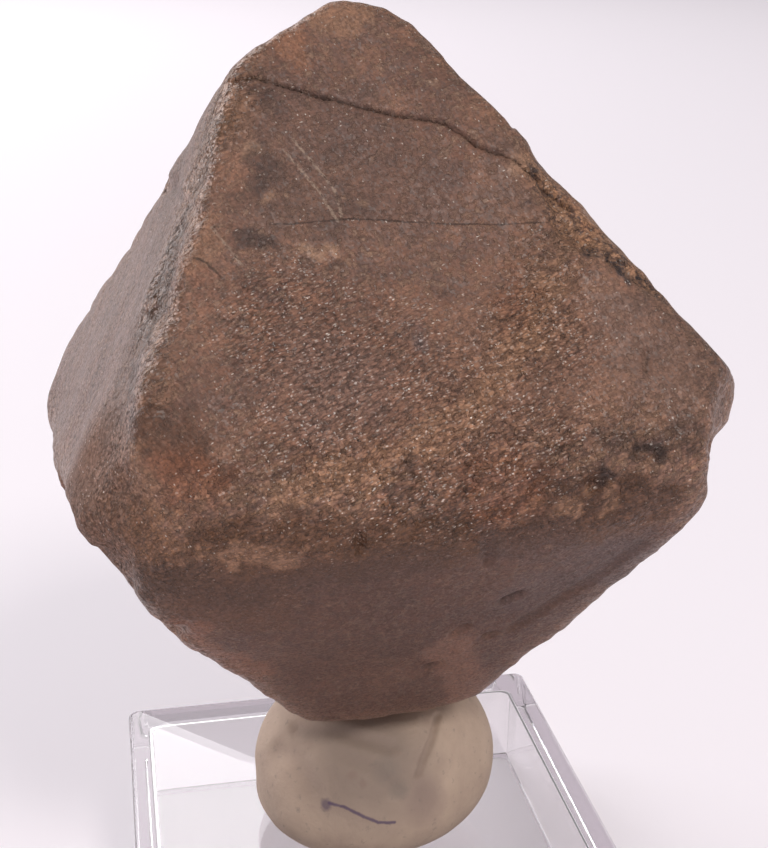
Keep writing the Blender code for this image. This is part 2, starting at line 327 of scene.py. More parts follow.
# Chips and dents: both ends of the line they follow, their reach to each side, their depth. A
# depth below zero is a swelling.
CHIPS = [
    ((10.0, 0.8, 11.5), (14.8, 0.8, 6.6), 1.3, 0.20),
    ((18.1, 1.1, -1.0), (17.6, -0.2, -1.6), 1.0, 0.40),
    ((-3.0, -16.1, -2.6), (-2.7, -16.0, -3.0), 0.7, 0.25),
    ((-0.6, -15.8, -5.3), (-0.2, -15.6, -5.7), 0.7, 0.22),
    ((0.7, -12.2, -9.8), (1.0, -11.8, -10.2), 0.8, 0.22),
    ((5.7, 0.7, 15.3), (7.5, 0.7, 13.7), 3.0, -0.22),
    ((16.4, 1.0, 4.7), (18.0, 1.6, 2.6), 2.6, 0.25),
    ((-1.0, -7.5, 14.3), (-1.2, -12.8, 8.0), 1.8, 0.22),
    ((-0.7, -14.4, 6.8), (-1.2, -16.9, 2.5), 3.4, 0.40),
    ((-0.2, -17.7, -0.5), (4.4, -15.4, -0.8), 2.8, 0.30),
    ((-9.5, 6.0, 7.0), (-7.0, 8.5, 6.5), 4.2, 1.10),
    ((6.5, 9.0, -7.5), (9.5, 8.5, -4.5), 3.2, 0.80),
    ((-9.0, 6.0, -8.0), (-6.0, 7.0, -10.0), 3.0, 0.90),
    ((-10.0, -8.0, -5.5), (-8.0, -7.0, -8.5), 2.6, 0.60),
]
print("planes:", len(OCTAHEDRON), "faces,", len(WORN_CORNERS), "worn corners,", len(FLATS), "flats")

# %% [markdown]
# From planes to a form. Each direction from the middle asks how far every plane lets it go.
# Cutting a block with booleans would give knife edges, and a bevel would round them all alike.
# A high power of the inverse distances picks the nearest plane and rounds the edges a little,
# and a lower power rounds the corners more. Swells, ledges, slopes and chips are added to it.

# %% The crystal's form


def inverse_radii(directions, planes):
    """For each direction and plane, 1 / the distance at which the direction meets the plane."""
    return np.clip(directions @ unit(list(planes)).T, 0, None) / np.array(list(planes.values()))


def crystal_form(directions):
    """Radius along each direction, and each plane's share of it.

    Formula: r = (sum of (n.u / d)^48)^(-1/48) over the planes n, d, then the worn corners join
    in the same way with the power 16. Relief is added along the direction.
    """
    planes = {**OCTAHEDRON, **FLATS}
    pull = inverse_radii(directions, planes) ** EDGE_CRISPNESS
    total = pull.sum(axis=1)
    share = dict(zip(planes, (pull / total[:, None]).T))
    radius = total ** (-1 / EDGE_CRISPNESS)
    corners = (inverse_radii(directions, WORN_CORNERS) * radius[:, None]) ** CORNER_CRISPNESS
    radius = radius * (1 + corners.sum(axis=1)) ** (-1 / CORNER_CRISPNESS)
    points = directions * radius[:, None]
    radius = radius + SWELL_HEIGHT * swells(points, SWELL_LENGTH, SWELL_WAVES, seed=4)
    for face, way, start, fall, width in LEDGES:
        radius = radius - fall * share[face] * smooth_step((points @ unit(way) - start) / width)
    for face, way, start, degrees in SLOPES:
        beyond = np.clip(points @ unit(way) - start, 0, None)
        radius = radius - share[face] * beyond * sin(radians(degrees))
    for start, end, reach, depth in CHIPS:
        distance = nearest_on_route(points, np.array([start, end]))[0]
        radius = radius - depth * smooth_step(CHIP_BOWL - distance / reach)
    return radius, share


def to_crystal(points):
    """From the frame, in millimetres, to the crystal's own frame."""
    return (points - CRYSTAL_MIDDLE) @ CRYSTAL_TURN


def from_crystal(points):
    """From the crystal's own frame to the frame, in millimetres."""
    return points @ CRYSTAL_TURN.T + CRYSTAL_MIDDLE


face_radii, _ = crystal_form(unit(list(OCTAHEDRON)))
print("from the middle to the eight faces, mm:", face_radii.round(1))

# %% [markdown]
# Marks are placed where the photograph shows them. A pixel is a ray from the camera, and the
# first place where the ray is inside the crystal is the marked point of its skin.

# %% From pixels of the photograph to the crystal's skin
RAY_NEAR, RAY_FAR, RAY_STEPS = 42.0, 92.0, 1001


def on_crystal(pixels):
    """Points of the skin, in the crystal's own frame, that show at these pixels."""
    pixels = np.array(pixels, float)
    side = (pixels[:, 0] - PHOTO_WIDTH / 2) / FOCAL_PIXELS
    rise = (PHOTO_HEIGHT / 2 - pixels[:, 1]) / FOCAL_PIXELS
    rays = unit(np.stack([side, rise, -np.ones(len(pixels))], axis=1)) @ np.array(camera_turn).T
    steps = np.linspace(RAY_NEAR, RAY_FAR, RAY_STEPS)
    places = to_crystal(camera_place + rays[:, None, :] * steps[:, None]).reshape(-1, 3)
    radius, _ = crystal_form(unit(places))
    spare = (np.linalg.norm(places, axis=1) - radius).reshape(len(pixels), -1)
    first = np.where((spare < 0).any(axis=1), (spare < 0).argmax(axis=1), spare.argmin(axis=1))
    found = places.reshape(len(pixels), -1, 3)[np.arange(len(pixels)), first]
    radius, _ = crystal_form(unit(found))
    return unit(found) * radius[:, None]


CRACK_PIXELS = [(223, 88), (240, 79), (252, 76), (268, 78), (293, 85), (319, 93), (350, 101),
                (378, 108), (398, 112), (443, 121), (463, 134), (479, 146), (509, 157),
                (530, 173), (554, 191), (575, 216)]
crack_route = on_crystal(CRACK_PIXELS)
print("the crack runs", round(np.linalg.norm(np.diff(crack_route, axis=0), axis=1).sum(), 1), "mm")

# %% [markdown]
# The crystal's grid. A square sheet folds round an octahedron: its middle is the top corner,
# its four border middles are the waist corners, and its own corners meet at the bottom. The
# folds of the sheet lie on the crystal's edges, so the edges come out clean. Along the crack
# the grid is drawn together, so that there are points enough for a narrow cleft.

# %% Folded grid
GRID_HALF = 156
CRACK_DRAW = 0.80
CRACK_DRAW_REACH = 1.3


def folded_grid(half):
    """Unit directions and triangles of a square grid folded round an octahedron.

    Formula: a point (u, v) of the square has height w = 1 - |u| - |v|. Where w is negative it
    folds under, to (sign(u) (1 - |v|), sign(v) (1 - |u|), w).
    """
    side = 2 * half + 1
    u, v = np.meshgrid(np.linspace(-1, 1, side), np.linspace(-1, 1, side), indexing="ij")
    height = 1 - abs(u) - abs(v)
    x = np.where(height >= 0, u, np.sign(u) * (1 - abs(v)))
    y = np.where(height >= 0, v, np.sign(v) * (1 - abs(u)))
    points = np.stack([x, y, height], axis=-1).reshape(-1, 3)
    corner = np.arange(side * side).reshape(side, side)
    a, b, c, d = (corner[:-1, :-1], corner[1:, :-1], corner[1:, 1:], corner[:-1, 1:])
    same_sign = ((u * v)[:-1, :-1] + (u * v)[1:, 1:] > 0)[..., None]
    first = np.where(same_sign, np.stack([a, b, d], -1), np.stack([a, b, c], -1))
    second = np.where(same_sign, np.stack([b, c, d], -1), np.stack([a, c, d], -1))
    triangles = np.concatenate([first.reshape(-1, 3), second.reshape(-1, 3)])
    _, keep, merged = np.unique(np.round(points, 9) + 0.0, axis=0,
                                return_index=True, return_inverse=True)
    return unit(points[keep]), merged.reshape(-1)[triangles]


def outward(points, triangles):
    """Turn each triangle so that it faces away from the middle."""
    a, b, c = (points[triangles[:, corner]] for corner in range(3))
    inside_out = (np.cross(b - a, c - a) * (a + b + c)).sum(axis=1) < 0
    return np.where(inside_out[:, None], triangles[:, ::-1], triangles)


def drawn_together(directions):
    """The grid's directions, moved towards the crack where they are near it."""
    radius, _ = crystal_form(directions)
    points = directions * radius[:, None]
    distance, foot, _ = nearest_on_route(points, crack_route)
    draw = CRACK_DRAW * smooth_step(1 - distance / CRACK_DRAW_REACH)
    return unit(points + (foot - points) * draw[:, None])


grid_directions, grid_triangles = folded_grid(GRID_HALF)
grid_directions = drawn_together(grid_directions)
print("the grid has", len(grid_triangles), "triangles")

# %% [markdown]
# Wear. The edges are rubbed and lumpy, nicks show dark with painted shade, a strip below the
# crack has chipped off, and the sides turned away have a few pits. Sculpting by hand would be
# quicker, but it could not be read again. Each mark is a route of pixels with a reach and a
# depth, and gives a mask over the points of the skin.

# %% Wear, dents and pits
ROUTE_BOWL = 1.25

# Where edges are rubbed and lumpy: a route of pixels, and how far the wear reaches in mm
WORN_ROUTES = [
    ([(236, 84), (215, 130), (190, 200), (175, 240), (160, 300)], 1.7),
    ([(160, 300), (140, 380), (118, 450), (115, 530)], 2.0),
    ([(115, 540), (200, 520), (330, 500), (470, 480), (590, 455), (690, 465)], 3.0),
    ([(470, 400), (540, 320), (560, 250)], 2.2),
    ([(540, 170), (570, 215), (600, 240), (640, 275), (680, 295)], 1.3),
    ([(102, 550), (125, 590), (173, 632), (240, 680)], 1.6),
]

# Small dents, nicks and grooves: a route of pixels, the reach and the depth in mm, and how
# dark their painted shade is
DENTS = [
    ([(507, 599), (518, 594)], 0.36, 0.30, 0.6),
    ([(455, 634), (464, 628)], 0.36, 0.28, 0.6),
    ([(486, 636), (493, 634)], 0.30, 0.20, 0.5),
    ([(514, 628), (549, 605), (590, 580), (640, 545)], 0.45, 0.14, 0.3),
    ([(428, 667), (438, 664)], 0.34, 0.20, 0.5),
    ([(357, 534), (360, 550)], 0.28, 0.26, 0.3),
    ([(486, 545), (488, 562)], 0.30, 0.16, 0.3),
    ([(640, 448), (656, 452)], 0.50, 0.20, 0.4),
    ([(594, 484), (604, 480)], 0.45, 0.18, 0.4),
    ([(648, 352), (646, 370)], 0.26, 0.16, 0.6),
    ([(720, 440), (712, 452)], 0.55, 0.25, 0.2),
    ([(560, 222), (590, 250)], 0.45, 0.22, 0.3),
    ([(610, 262), (650, 290)], 0.45, 0.22, 0.3),
    ([(545, 185), (556, 205)], 0.40, 0.18, 0.3),
    ([(196, 135), (172, 176)], 1.10, -0.12, 0.0),
    ([(164, 188), (176, 184)], 0.45, 0.22, 0.0),
    ([(100, 551), (110, 549)], 0.45, 0.24, 0.0),
    ([(112, 566), (122, 563)], 0.36, 0.20, 0.0),
    ([(124, 586), (134, 581)], 0.40, 0.20, 0.0),
    ([(173, 633), (184, 625)], 0.40, 0.18, 0.0),
]

# Where the skin is broken into lumps, and the chipped strip down from the crack
LUMPY_ROUTE = [([(360, 470), (450, 480), (540, 440)], 3.2)]
STRIP_ROUTE = [([(540, 172), (566, 214), (600, 243), (640, 272), (676, 292)], 1.1)]

# Pits on the sides turned away: face, across, up, half-length, half-width, depth, degrees
HIDDEN_PITS = [
    ((1, 1, 1), -3.5, -1.0, 1.3, 0.7, 0.50, 30),
    ((1, 1, 1), -6.0, -4.0, 0.8, 0.6, 0.40, -20),
    ((-1, 1, 1), 3.0, 8.0, 0.9, 0.5, 0.40, 60),
    ((-1, 1, -1), 4.0, 3.0, 1.1, 0.6, 0.45, 0),
]


def near_routes(points, routes):
    """For each route of pixels, a mask: 1 near it, and 0 beyond its reach."""
    found = []
    for pixels, reach, *_ in routes:
        distance = nearest_on_route(points, on_crystal(pixels))[0]
        found.append(smooth_step(ROUTE_BOWL - distance / reach))
    return np.array(found)


def pit_depths(points):
    """Depth of the hidden pits: half-depth (1 - (a / length)^2 - (b / width)^2), if above 0."""
    depths = np.zeros(len(points))
    for face, across, up, length, width, depth, turn in HIDDEN_PITS:
        normal = unit(face)
        right = unit(np.cross((0, 0, 1), normal))
        upward = np.cross(normal, right)
        place = normal * OCTAHEDRON[face] + right * across + upward * up
        angle = radians(turn)
        a = (points - place) @ (right * cos(angle) + upward * sin(angle)) / length
        b = (points - place) @ (upward * cos(angle) - right * sin(angle)) / width
        facing = points @ normal > 0
        depths = np.maximum(depths, depth * np.clip(1 - a ** 2 - b ** 2, 0, None) * facing)
    return depths


print(len(WORN_ROUTES), "worn edges,", len(DENTS), "dents,", len(HIDDEN_PITS), "hidden pits")

# %% [markdown]
# The skin. The real surface is lumpy at three sizes and its edges run unevenly. A displacement
# modifier could push the points out, but it can't tell a rubbed edge from a flat face. Here
# the relief is summed at each point, higher where the wear masks are high, and the open crack
# is sunk as a narrow cleft that fades at its ends.

# %% Skin of the crystal
CRACK_HALF_WIDTH = 0.075
CRACK_DEPTH = 0.55
CRACK_BOWL = 1.5
CRACK_FADES = (0.08, 0.12)
EDGE_RIPPLE = 0.010
EDGE_RIPPLE_LENGTH = 0.15
EDGE_WEAR, EDGE_WEAR_SHARE = 0.8, 0.6
LEFT_FADE = 0.16

# Relief: height and size in mm, seed
LARGE_LUMPS, SMALL_LUMPS = (0.07, 1.8, 11), (0.05, 0.85, 12)
GRAIN_RELIEF = (0.04, 0.45, 13)
BROKEN_LUMPS = (0.15, 0.55, 15)
CLEFT_WAVER = (0.5, 0.9, 14)


def relief(points, height, size, seed):
    """Rough noise of a given height and size."""
    return height * lattice_noise(points, size, seed)


def rippled(directions):
    """The directions, each moved aside by smooth noise, so that edges run unevenly."""
    aside = [lattice_noise(directions, EDGE_RIPPLE_LENGTH, seed) for seed in (21, 22, 23)]
    return unit(directions + EDGE_RIPPLE * np.stack(aside, axis=1))


def crystal_skin(directions):
    """Points and point masks of the finished crystal along the directions, in its own frame.

    Formula: the form's radius along rippled directions, plus lumps and grain that are higher
    where the skin is worn, less the dents, the pits and the open crack.
    """
    radius, share = crystal_form(directions)
    points = directions * radius[:, None]
    edge = 1 - np.maximum.reduce([share[plane] for plane in OCTAHEDRON])
    edge_wear = EDGE_WEAR * smooth_step(edge / EDGE_WEAR_SHARE)
    worn = np.maximum(near_routes(points, WORN_ROUTES).max(axis=0), edge_wear)
    hollows = near_routes(points, DENTS)
    depths, darkness = np.array([(depth, dark) for _, _, depth, dark in DENTS]).T
    lumpy, strip = (near_routes(points, route)[0] for route in (LUMPY_ROUTE, STRIP_ROUTE))
    lumps = relief(points, *LARGE_LUMPS) + relief(points, *SMALL_LUMPS)
    grain = relief(points, *GRAIN_RELIEF)
    radius, _ = crystal_form(rippled(directions))
    radius = radius + lumps * (0.5 + 1.1 * worn) + grain * (0.3 + 0.9 * worn)
    radius = radius + relief(points, *BROKEN_LUMPS) * lumpy
    radius = radius - (hollows * depths[:, None]).sum(axis=0) - pit_depths(points)
    distance, _, along = nearest_on_route(points, crack_route)
    ends = smooth_step(along / CRACK_FADES[0]) * smooth_step((1 - along) / CRACK_FADES[1])
    width = CRACK_HALF_WIDTH * (1 + relief(points, *CLEFT_WAVER))
    cleft = ends * smooth_step(CRACK_BOWL - distance / width)
    radius = radius - CRACK_DEPTH * cleft
    under_front = 1 - points @ unit(FRONT) / OCTAHEDRON[FRONT]
    masks = {
        "worn": worn,
        "cleft": cleft,
        # How much painted shade each point gets from the dents
        "hollow": (hollows * darkness[:, None]).max(axis=0),
        # Where the underside's painted shade goes
        "below": share[BELOW],
        # Where the left side's painted sheen goes
        "left": share[LEFT] * smooth_step(under_front / LEFT_FADE),
        "lumpy": lumpy,
        "strip": strip,
    }
    return directions * radius[:, None], masks


skin_points, skin_masks = crystal_skin(grid_directions)
crystal = mesh_object("crystal_skin", from_crystal(skin_points),
                      outward(grid_directions, grid_triangles))
for mask_name, mask in skin_masks.items():
    keep_on_points(crystal, mask_name, mask)
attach(crystal, "root")
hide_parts("pyrochlore_crystal")

# %% [markdown]
# The putty. It is a ball of soft grey mineral tack, squashed on the stand, with the crystal's
# end pushed into it. Cloth or fluid simulation would be far too much for a hand-squeezed lump.
# Rings of points are stacked from its flat foot up a bulge to its waist, and on over a dome,
# with soft swells and small dimples so that no ring is a true circle.

# %% Surface from stacked rings


def rings_surface(rings, foot, top):
    """Points and faces of a closed surface: rings (k, n, 3) joined by quads, with a fan of
    triangles from a foot point to the first ring and from the last ring to a top point."""
    count, around, _ = rings.shape
    index = np.arange(count * around).reshape(count, around)
    here, there = index, np.roll(index, -1, axis=1)
    quads = np.stack([here[:-1], there[:-1], there[1:], here[1:]], axis=-1).reshape(-1, 4)
    foot_index, top_index = count * around, count * around + 1
    foot_fan = np.stack([np.full(around, foot_index), there[0], here[0]], axis=-1)
    top_fan = np.stack([here[-1], there[-1], np.full(around, top_index)], axis=-1)
    points = np.concatenate([rings.reshape(-1, 3), [foot], [top]])
    return points, [*quads.tolist(), *foot_fan.tolist(), *top_fan.tolist()]


# %% Putty's rings
PUTTY_MIDDLE = stand_top[:2] + np.array([0.3, -0.2])
PUTTY_HALF_WIDTH = 6.4
PUTTY_HALF_DEPTH = 6.1
PUTTY_FOOT = 0.60
PUTTY_HEIGHT = 8.6
PUTTY_WAIST = 3.2
PUTTY_LEAN = 1.3
PUTTY_AROUND, PUTTY_FOOT_RINGS, PUTTY_LOW_RINGS, PUTTY_HIGH_RINGS = 240, 20, 40, 110
PUTTY_SWELL = 0.035
PUTTY_DIMPLES = (0.006, 1.1, 31)
PUTTY_LIFT = 0.02
DOME_POWER = 0.8


def putty_profile():
    """Each ring's radius share, and its share of the way up to the waist and on to the top.

    Formula: the bulge is a quarter ellipse from (foot, 0) to (1, waist), and the dome goes on
    from there as (cos(a)^0.8, waist + (height - waist) sin(a)).
    """
    foot = np.linspace(0, 1, PUTTY_FOOT_RINGS + 1)[1:-1] * PUTTY_FOOT
    low = np.linspace(0, pi / 2, PUTTY_LOW_RINGS, endpoint=False)
    high = np.linspace(0, pi / 2, PUTTY_HIGH_RINGS, endpoint=False)
    share = np.concatenate([foot, PUTTY_FOOT + (1 - PUTTY_FOOT) * np.sin(low),
                            np.cos(high) ** DOME_POWER])
    to_waist = np.concatenate([foot * 0, 1 - np.cos(low), high * 0 + 1])
    to_top = np.concatenate([foot * 0, low * 0, np.sin(high)])
    return share, to_waist, to_top


def putty_rings():
    """The lump's rings in the frame, before anything is pressed into it."""
    share, to_waist, to_top = (part[:, None] for part in putty_profile())
    angle = np.arange(PUTTY_AROUND) * 2 * pi / PUTTY_AROUND
    waist = PUTTY_WAIST + PUTTY_LEAN * np.cos(angle)
    rings = np.stack([np.cos(angle) * share * PUTTY_HALF_WIDTH,
                      np.sin(angle) * share * PUTTY_HALF_DEPTH,
                      to_waist * waist + to_top * (PUTTY_HEIGHT - waist)], axis=-1)
    flat = rings.reshape(-1, 3)
    swell = PUTTY_SWELL * swells(flat, PUTTY_HALF_WIDTH, SWELL_WAVES, 9)
    rings[..., :2] *= 1 + (swell + relief(flat, *PUTTY_DIMPLES)).reshape(*rings.shape[:2], 1)
    return rings + np.array([*PUTTY_MIDDLE, stand_top[2] + PUTTY_LIFT])


rings = putty_rings()
print("the putty's rings and their points:", rings.shape[:2])

# %% [markdown]
# Folds and the press. Fingers left a few creases in the lump, and the crystal's end made its
# own bed. The creases are drawn where they show, as for the crystal, and sunk towards the
# lump's middle. The bed needs no boolean: each point knows how deep in the crystal it is.

# %% Putty, folded and pressed
PUTTY_CENTRE = np.array([*PUTTY_MIDDLE, stand_top[2] + PUTTY_WAIST])
PRESS_GAP = 0.02
TUCK_REACH = 1.6
DEEP_FOLD = 0.3

# Folds of the lump: a route of pixels, the reach in pixels and the depth in mm
PUTTY_FOLDS = [
    ([(438, 716), (433, 738), (424, 760), (419, 775)], 5.5, 0.20),
    ([(430, 722), (421, 760)], 14, 0.10),
    ([(420, 778), (428, 802)], 14, 0.12),
    ([(297, 728), (340, 733), (392, 747)], 12, 0.16),
    ([(280, 750), (300, 760), (312, 790)], 16, 0.12),
    ([(345, 757), (372, 768), (398, 790)], 12, 0.10),
]


def press_crystal_in(points):
    """Push every point that lies inside the crystal out to its skin, plus a hair's gap."""
    inner = to_crystal(points)
    directions = unit(inner)
    radius, _ = crystal_form(directions)
    distance = np.maximum(np.linalg.norm(inner, axis=1), radius + PRESS_GAP)
    return from_crystal(directions * distance[:, None])


def seen_at(points):
    """The pixels at which points of the frame, in millimetres, show."""
    x, y, z = ((points - camera_place) @ np.array(camera_turn)).T
    return np.stack([PHOTO_WIDTH / 2 - FOCAL_PIXELS * x / z,
                     PHOTO_HEIGHT / 2 + FOCAL_PIXELS * y / z], axis=1)


def towards_camera(points):
    """Which of the lump's points are on its near side."""
    return ((points - PUTTY_CENTRE) * (camera_place - points)).sum(axis=1) > 0


def fold(points):
    """Sink the folds in the near side, along the pixels where the photograph shows them, and
    give a mask of how deep they are."""
    pixels, near = seen_at(points), towards_camera(points)
    sunk = np.zeros(len(points))
    for route, reach, depth in PUTTY_FOLDS:
        distance = nearest_on_route(pixels, np.array(route, float))[0]
        sunk += depth * smooth_step(1 - distance / reach) * near
    folded = points - unit(points - PUTTY_CENTRE) * sunk[:, None]
    return folded, np.clip(sunk / DEEP_FOLD, 0, 1)


def make_putty():
    foot = np.array([*PUTTY_MIDDLE, stand_top[2] + PUTTY_LIFT])
    top = np.array([*PUTTY_MIDDLE, stand_top[2] + PUTTY_HEIGHT])
    points, faces = rings_surface(rings, foot, top)
    points, folds = fold(points)
    points = press_crystal_in(points)
    putty = mesh_object("putty_lump", points, faces)
    inner = to_crystal(points)
    gap = np.linalg.norm(inner, axis=1) - crystal_form(unit(inner))[0]
    # How near each point is to the crystal, for the painted shade where the lump meets it
    keep_on_points(putty, "tucked", smooth_step(1 - gap / TUCK_REACH))
    # How deep the folds are, for their painted shade
    keep_on_points(putty, "folds", folds)
    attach(putty, "root")
    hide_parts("putty")
    return putty, points


putty, putty_points = make_putty()

# %% [markdown]
# The stand. It is a clear moulded tray turned over. Each wall shows twice, from outside and
# through the top plate, so the inside has to be real: the section runs from the middle of the
# plate's underside, down the inner wall, across the rim, up the outer wall and back to the
# middle of the top. It is carried round a square with round corners.

# %% Clear stand
STAND_HALF = (stand_high[0] - stand_low[0]) / 2 / MM
STAND_HEIGHT = stand_high[2] / MM
STAND_WALL = 1.2
STAND_FILLET = 0.35
RIM_FILLET = 0.15
CORNER_ROUND = 0.5
CORNER_STEPS = 8
FILLET_STEPS = 5
SHARP_ANGLE = radians(35)


def fillet(side, height, radius, start, end):
    """Points of a quarter circle in the section, about (side, height), from angle to angle."""
    angle = np.radians(np.linspace(start, end, FILLET_STEPS + 1))
    return np.stack([side + radius * np.cos(angle), height + radius * np.sin(angle)], axis=1)


def stand_section():
    """Half side and height along the section, from the plate's underside round to its top."""
    inner, ceiling = STAND_HALF - STAND_WALL, STAND_HEIGHT - STAND_WALL
    f, r = STAND_FILLET, RIM_FILLET
    return np.concatenate([
        [(inner / 2, ceiling)],
        fillet(inner - f, ceiling - f, f, 90, 0),
        fillet(inner + r, r, r, 180, 270),
        fillet(STAND_HALF - r, r, r, 270, 360),
        fillet(STAND_HALF - f, STAND_HEIGHT - f, f, 0, 90),
        [(inner / 2, STAND_HEIGHT)],
    ])


def make_stand():
    """Formula: a ring of half side h is, in each quarter, (h - c) (sx, sy) + c (cos t, sin t)."""
    quarter = np.linspace(0, pi / 2, CORNER_STEPS + 1)
    angle = np.concatenate([quarter + turn * pi / 2 for turn in range(4)])
    signs = np.repeat([(1, 1), (-1, 1), (-1, -1), (1, -1)], len(quarter), axis=0)
    circle = np.stack([np.cos(angle), np.sin(angle)], axis=1)
    section = stand_section()
    flat = (section[:, :1, None] - CORNER_ROUND) * signs + CORNER_ROUND * circle
    tall = np.broadcast_to(section[:, 1:, None], (*flat.shape[:2], 1))
    rings = np.concatenate([flat + stand_top[:2], tall], axis=-1)
    ceiling = np.array([*stand_top[:2], STAND_HEIGHT - STAND_WALL])
    points, faces = rings_surface(rings, ceiling, stand_top)
    stand = mesh_object("clear_stand", points, faces)
    stand.data.set_sharp_from_angle(angle=SHARP_ANGLE)
    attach(stand, "root")
    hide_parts("display_base")
    return stand


stand = make_stand()

# %% [markdown]
# Materials are networks of nodes. What several finishes need is a node group, built once: soft
# patches, tiny long flakes, a fine line between two points, and a round spot. Each group
# only gives a mask between 0 and 1, and the shader stays in its own material.

# %% Node helpers


def put_node(tree, kind, inputs=(), **settings):
    """Add a node. An input is a number or colour, or another node's output to link."""
    made = tree.nodes.new("ShaderNode" + kind)
    for name, value in settings.items():
        setattr(made, name, value)
    for key, value in dict(inputs).items():
        if isinstance(value, bpy.types.NodeSocket):
            tree.links.new(value, made.inputs[key])
        else:
            made.inputs[key].default_value = value
    return made


def math(tree, operation, *values, clamp=False):
    """A Math node's output."""
    inputs = dict(enumerate(values))
    return put_node(tree, "Math", inputs, operation=operation, use_clamp=clamp).outputs[0]


def times(tree, first, second):
    """The product of two values."""
    return math(tree, "MULTIPLY", first, second)


def vector_math(tree, operation, *values):
    """A Vector Math node."""
    return put_node(tree, "VectorMath", dict(enumerate(values)), operation=operation)


def scaled(tree, vector, factor):
    """A vector times a number."""
    inputs = {0: vector, "Scale": factor}
    return put_node(tree, "VectorMath", inputs, operation="SCALE").outputs[0]


def mix(tree, share, first, second, blend="MIX"):
    """The mix of two colours, each three numbers or another node's output."""
    first, second = ((*tint, 1) if isinstance(tint, tuple) else tint for tint in (first, second))
    inputs = {0: share, 6: first, 7: second}
    return put_node(tree, "Mix", inputs, data_type="RGBA", blend_type=blend).outputs[2]


def remap(tree, value, low, high, new_low=0.0, new_high=1.0):
    """Value, moved from one range to another and held inside it."""
    inputs = {"Value": value, "From Min": low, "From Max": high,
              "To Min": new_low, "To Max": new_high}
    return put_node(tree, "MapRange", inputs).outputs["Result"]


def between(tree, mask, at_0, at_1):
    """A number that goes from one value to another as the mask goes from 0 to 1."""
    return remap(tree, mask, 0.0, 1.0, at_0, at_1)


def on_points(tree, name, output="Fac"):
    """What the mesh keeps on its points under this name."""
    return put_node(tree, "Attribute", attribute_name=name).outputs[output]


def new_group(name, inputs, outputs=("Mask",), vectors=()):
    """A node group, what it is given and its results, as sockets by name. An input is a number
    by default, and a vector where its default is None."""
    group = bpy.data.node_groups.new(name, "ShaderNodeTree")

    def add_socket(label, way, kind):
        return group.interface.new_socket(name=label, in_out=way, socket_type="NodeSocket" + kind)

    for label, default in inputs.items():
        if default is None:
            add_socket(label, "INPUT", "Vector")
        else:
            add_socket(label, "INPUT", "Float").default_value = default
    for label in (*outputs, *vectors):
        add_socket(label, "OUTPUT", "Vector" if label in vectors else "Float")
    given = group.nodes.new("NodeGroupInput").outputs
    return group, given, group.nodes.new("NodeGroupOutput").inputs


def place_group(tree, group, **inputs):
    """Place a group in a material and give its outputs."""
    made = tree.nodes.new("ShaderNodeGroup")
    made.node_tree = group
    for name, value in inputs.items():
        socket = made.inputs[name.replace("_", " ").capitalize()]
        if isinstance(value, bpy.types.NodeSocket):
            tree.links.new(value, socket)
        else:
            socket.default_value = value
    return made.outputs


def use_group(tree, group, **inputs):
    """Place a group in a material and give its first output."""
    return place_group(tree, group, **inputs)[0]


# %% [markdown]
# The shared groups. Image textures would be quicker to paint, but they would blur close up and
# need an unwrapped surface. Noise and Voronoi cells are sharp at any distance and follow the
# Object coordinates, stretched and turned where the real grain has a direction.

# %% Shared groups


def stretched(group, given):
    """The group's Vector, turned, and measured in cells of its Length and Width."""
    inputs = {"Vector": given["Vector"], "Rotation": given["Turn"]}
    turned = put_node(group, "VectorRotate", inputs, rotation_type="EULER_XYZ")
    size = put_node(group, "CombineXYZ",
                    {0: given["Length"], 1: given["Width"], 2: given["Width"]})
    return vector_math(group, "DIVIDE", turned.outputs[0], size.outputs[0]).outputs[0]


def patches_group():
    """Soft-edged patches of a given size: noise, cut between two levels."""
    group, given, result = new_group(
        "patches", {"Vector": None, "Size": 0.001, "Low": 0.4, "High": 0.6})
    scale = math(group, "DIVIDE", 1.0, given["Size"])
    noise = put_node(group, "TexNoise", {"Vector": given["Vector"], "Scale": scale,
                                         "Detail": 4.0, "Roughness": 0.6})
    group.links.new(remap(group, noise.outputs[0], given["Low"], given["High"]), result["Mask"])
    return group


def grain_group():
    """Grain with a direction: noise stretched along the turned X axis, cut between levels."""
    group, given, result = new_group("grain", {
        "Vector": None, "Turn": None, "Length": 0.0005, "Width": 0.0001,
        "Low": 0.4, "High": 0.6})
    cells = stretched(group, given)
    noise = put_node(group, "TexNoise", {"Vector": cells, "Scale": 1.0,
                                         "Detail": 2.0, "Roughness": 0.6})
    group.links.new(remap(group, noise.outputs[0], given["Low"], given["High"]), result["Mask"])
    return group


def flakes_group():
    """Tiny long flakes, from stretched Voronoi cells.

    Shade is random from flake to flake, Glint is 1 in the middle of a share of them, Gap is 1
    where they meet, and Normal is the given normal, tilted a little differently on each flake.
    """
    group, given, result = new_group("flakes", {
        "Vector": None, "Turn": None, "Length": 0.0004, "Width": 0.0001, "Share": 0.1,
        "Tilt": 0.5, "Normal": None}, ("Shade", "Glint", "Gap"), ("Normal",))
    voronoi = put_node(group, "TexVoronoi", {"Vector": stretched(group, given), "Scale": 1.0})
    own = put_node(group, "SeparateColor", {0: voronoi.outputs["Color"]})
    near = remap(group, voronoi.outputs["Distance"], 0.18, 0.42, 1.0, 0.0)
    kept = math(group, "LESS_THAN", own.outputs[0], given["Share"])
    lean = vector_math(group, "SUBTRACT", voronoi.outputs["Color"], (0.5, 0.5, 0.5)).outputs[0]
    lean = scaled(group, lean, given["Tilt"])
    tilted = vector_math(group, "ADD", given["Normal"], lean).outputs[0]
    group.links.new(own.outputs[1], result["Shade"])
    group.links.new(times(group, near, kept), result["Glint"])
    group.links.new(remap(group, voronoi.outputs["Distance"], 0.46, 0.86), result["Gap"])
    group.links.new(vector_math(group, "NORMALIZE", tilted).outputs[0], result["Normal"])
    return group


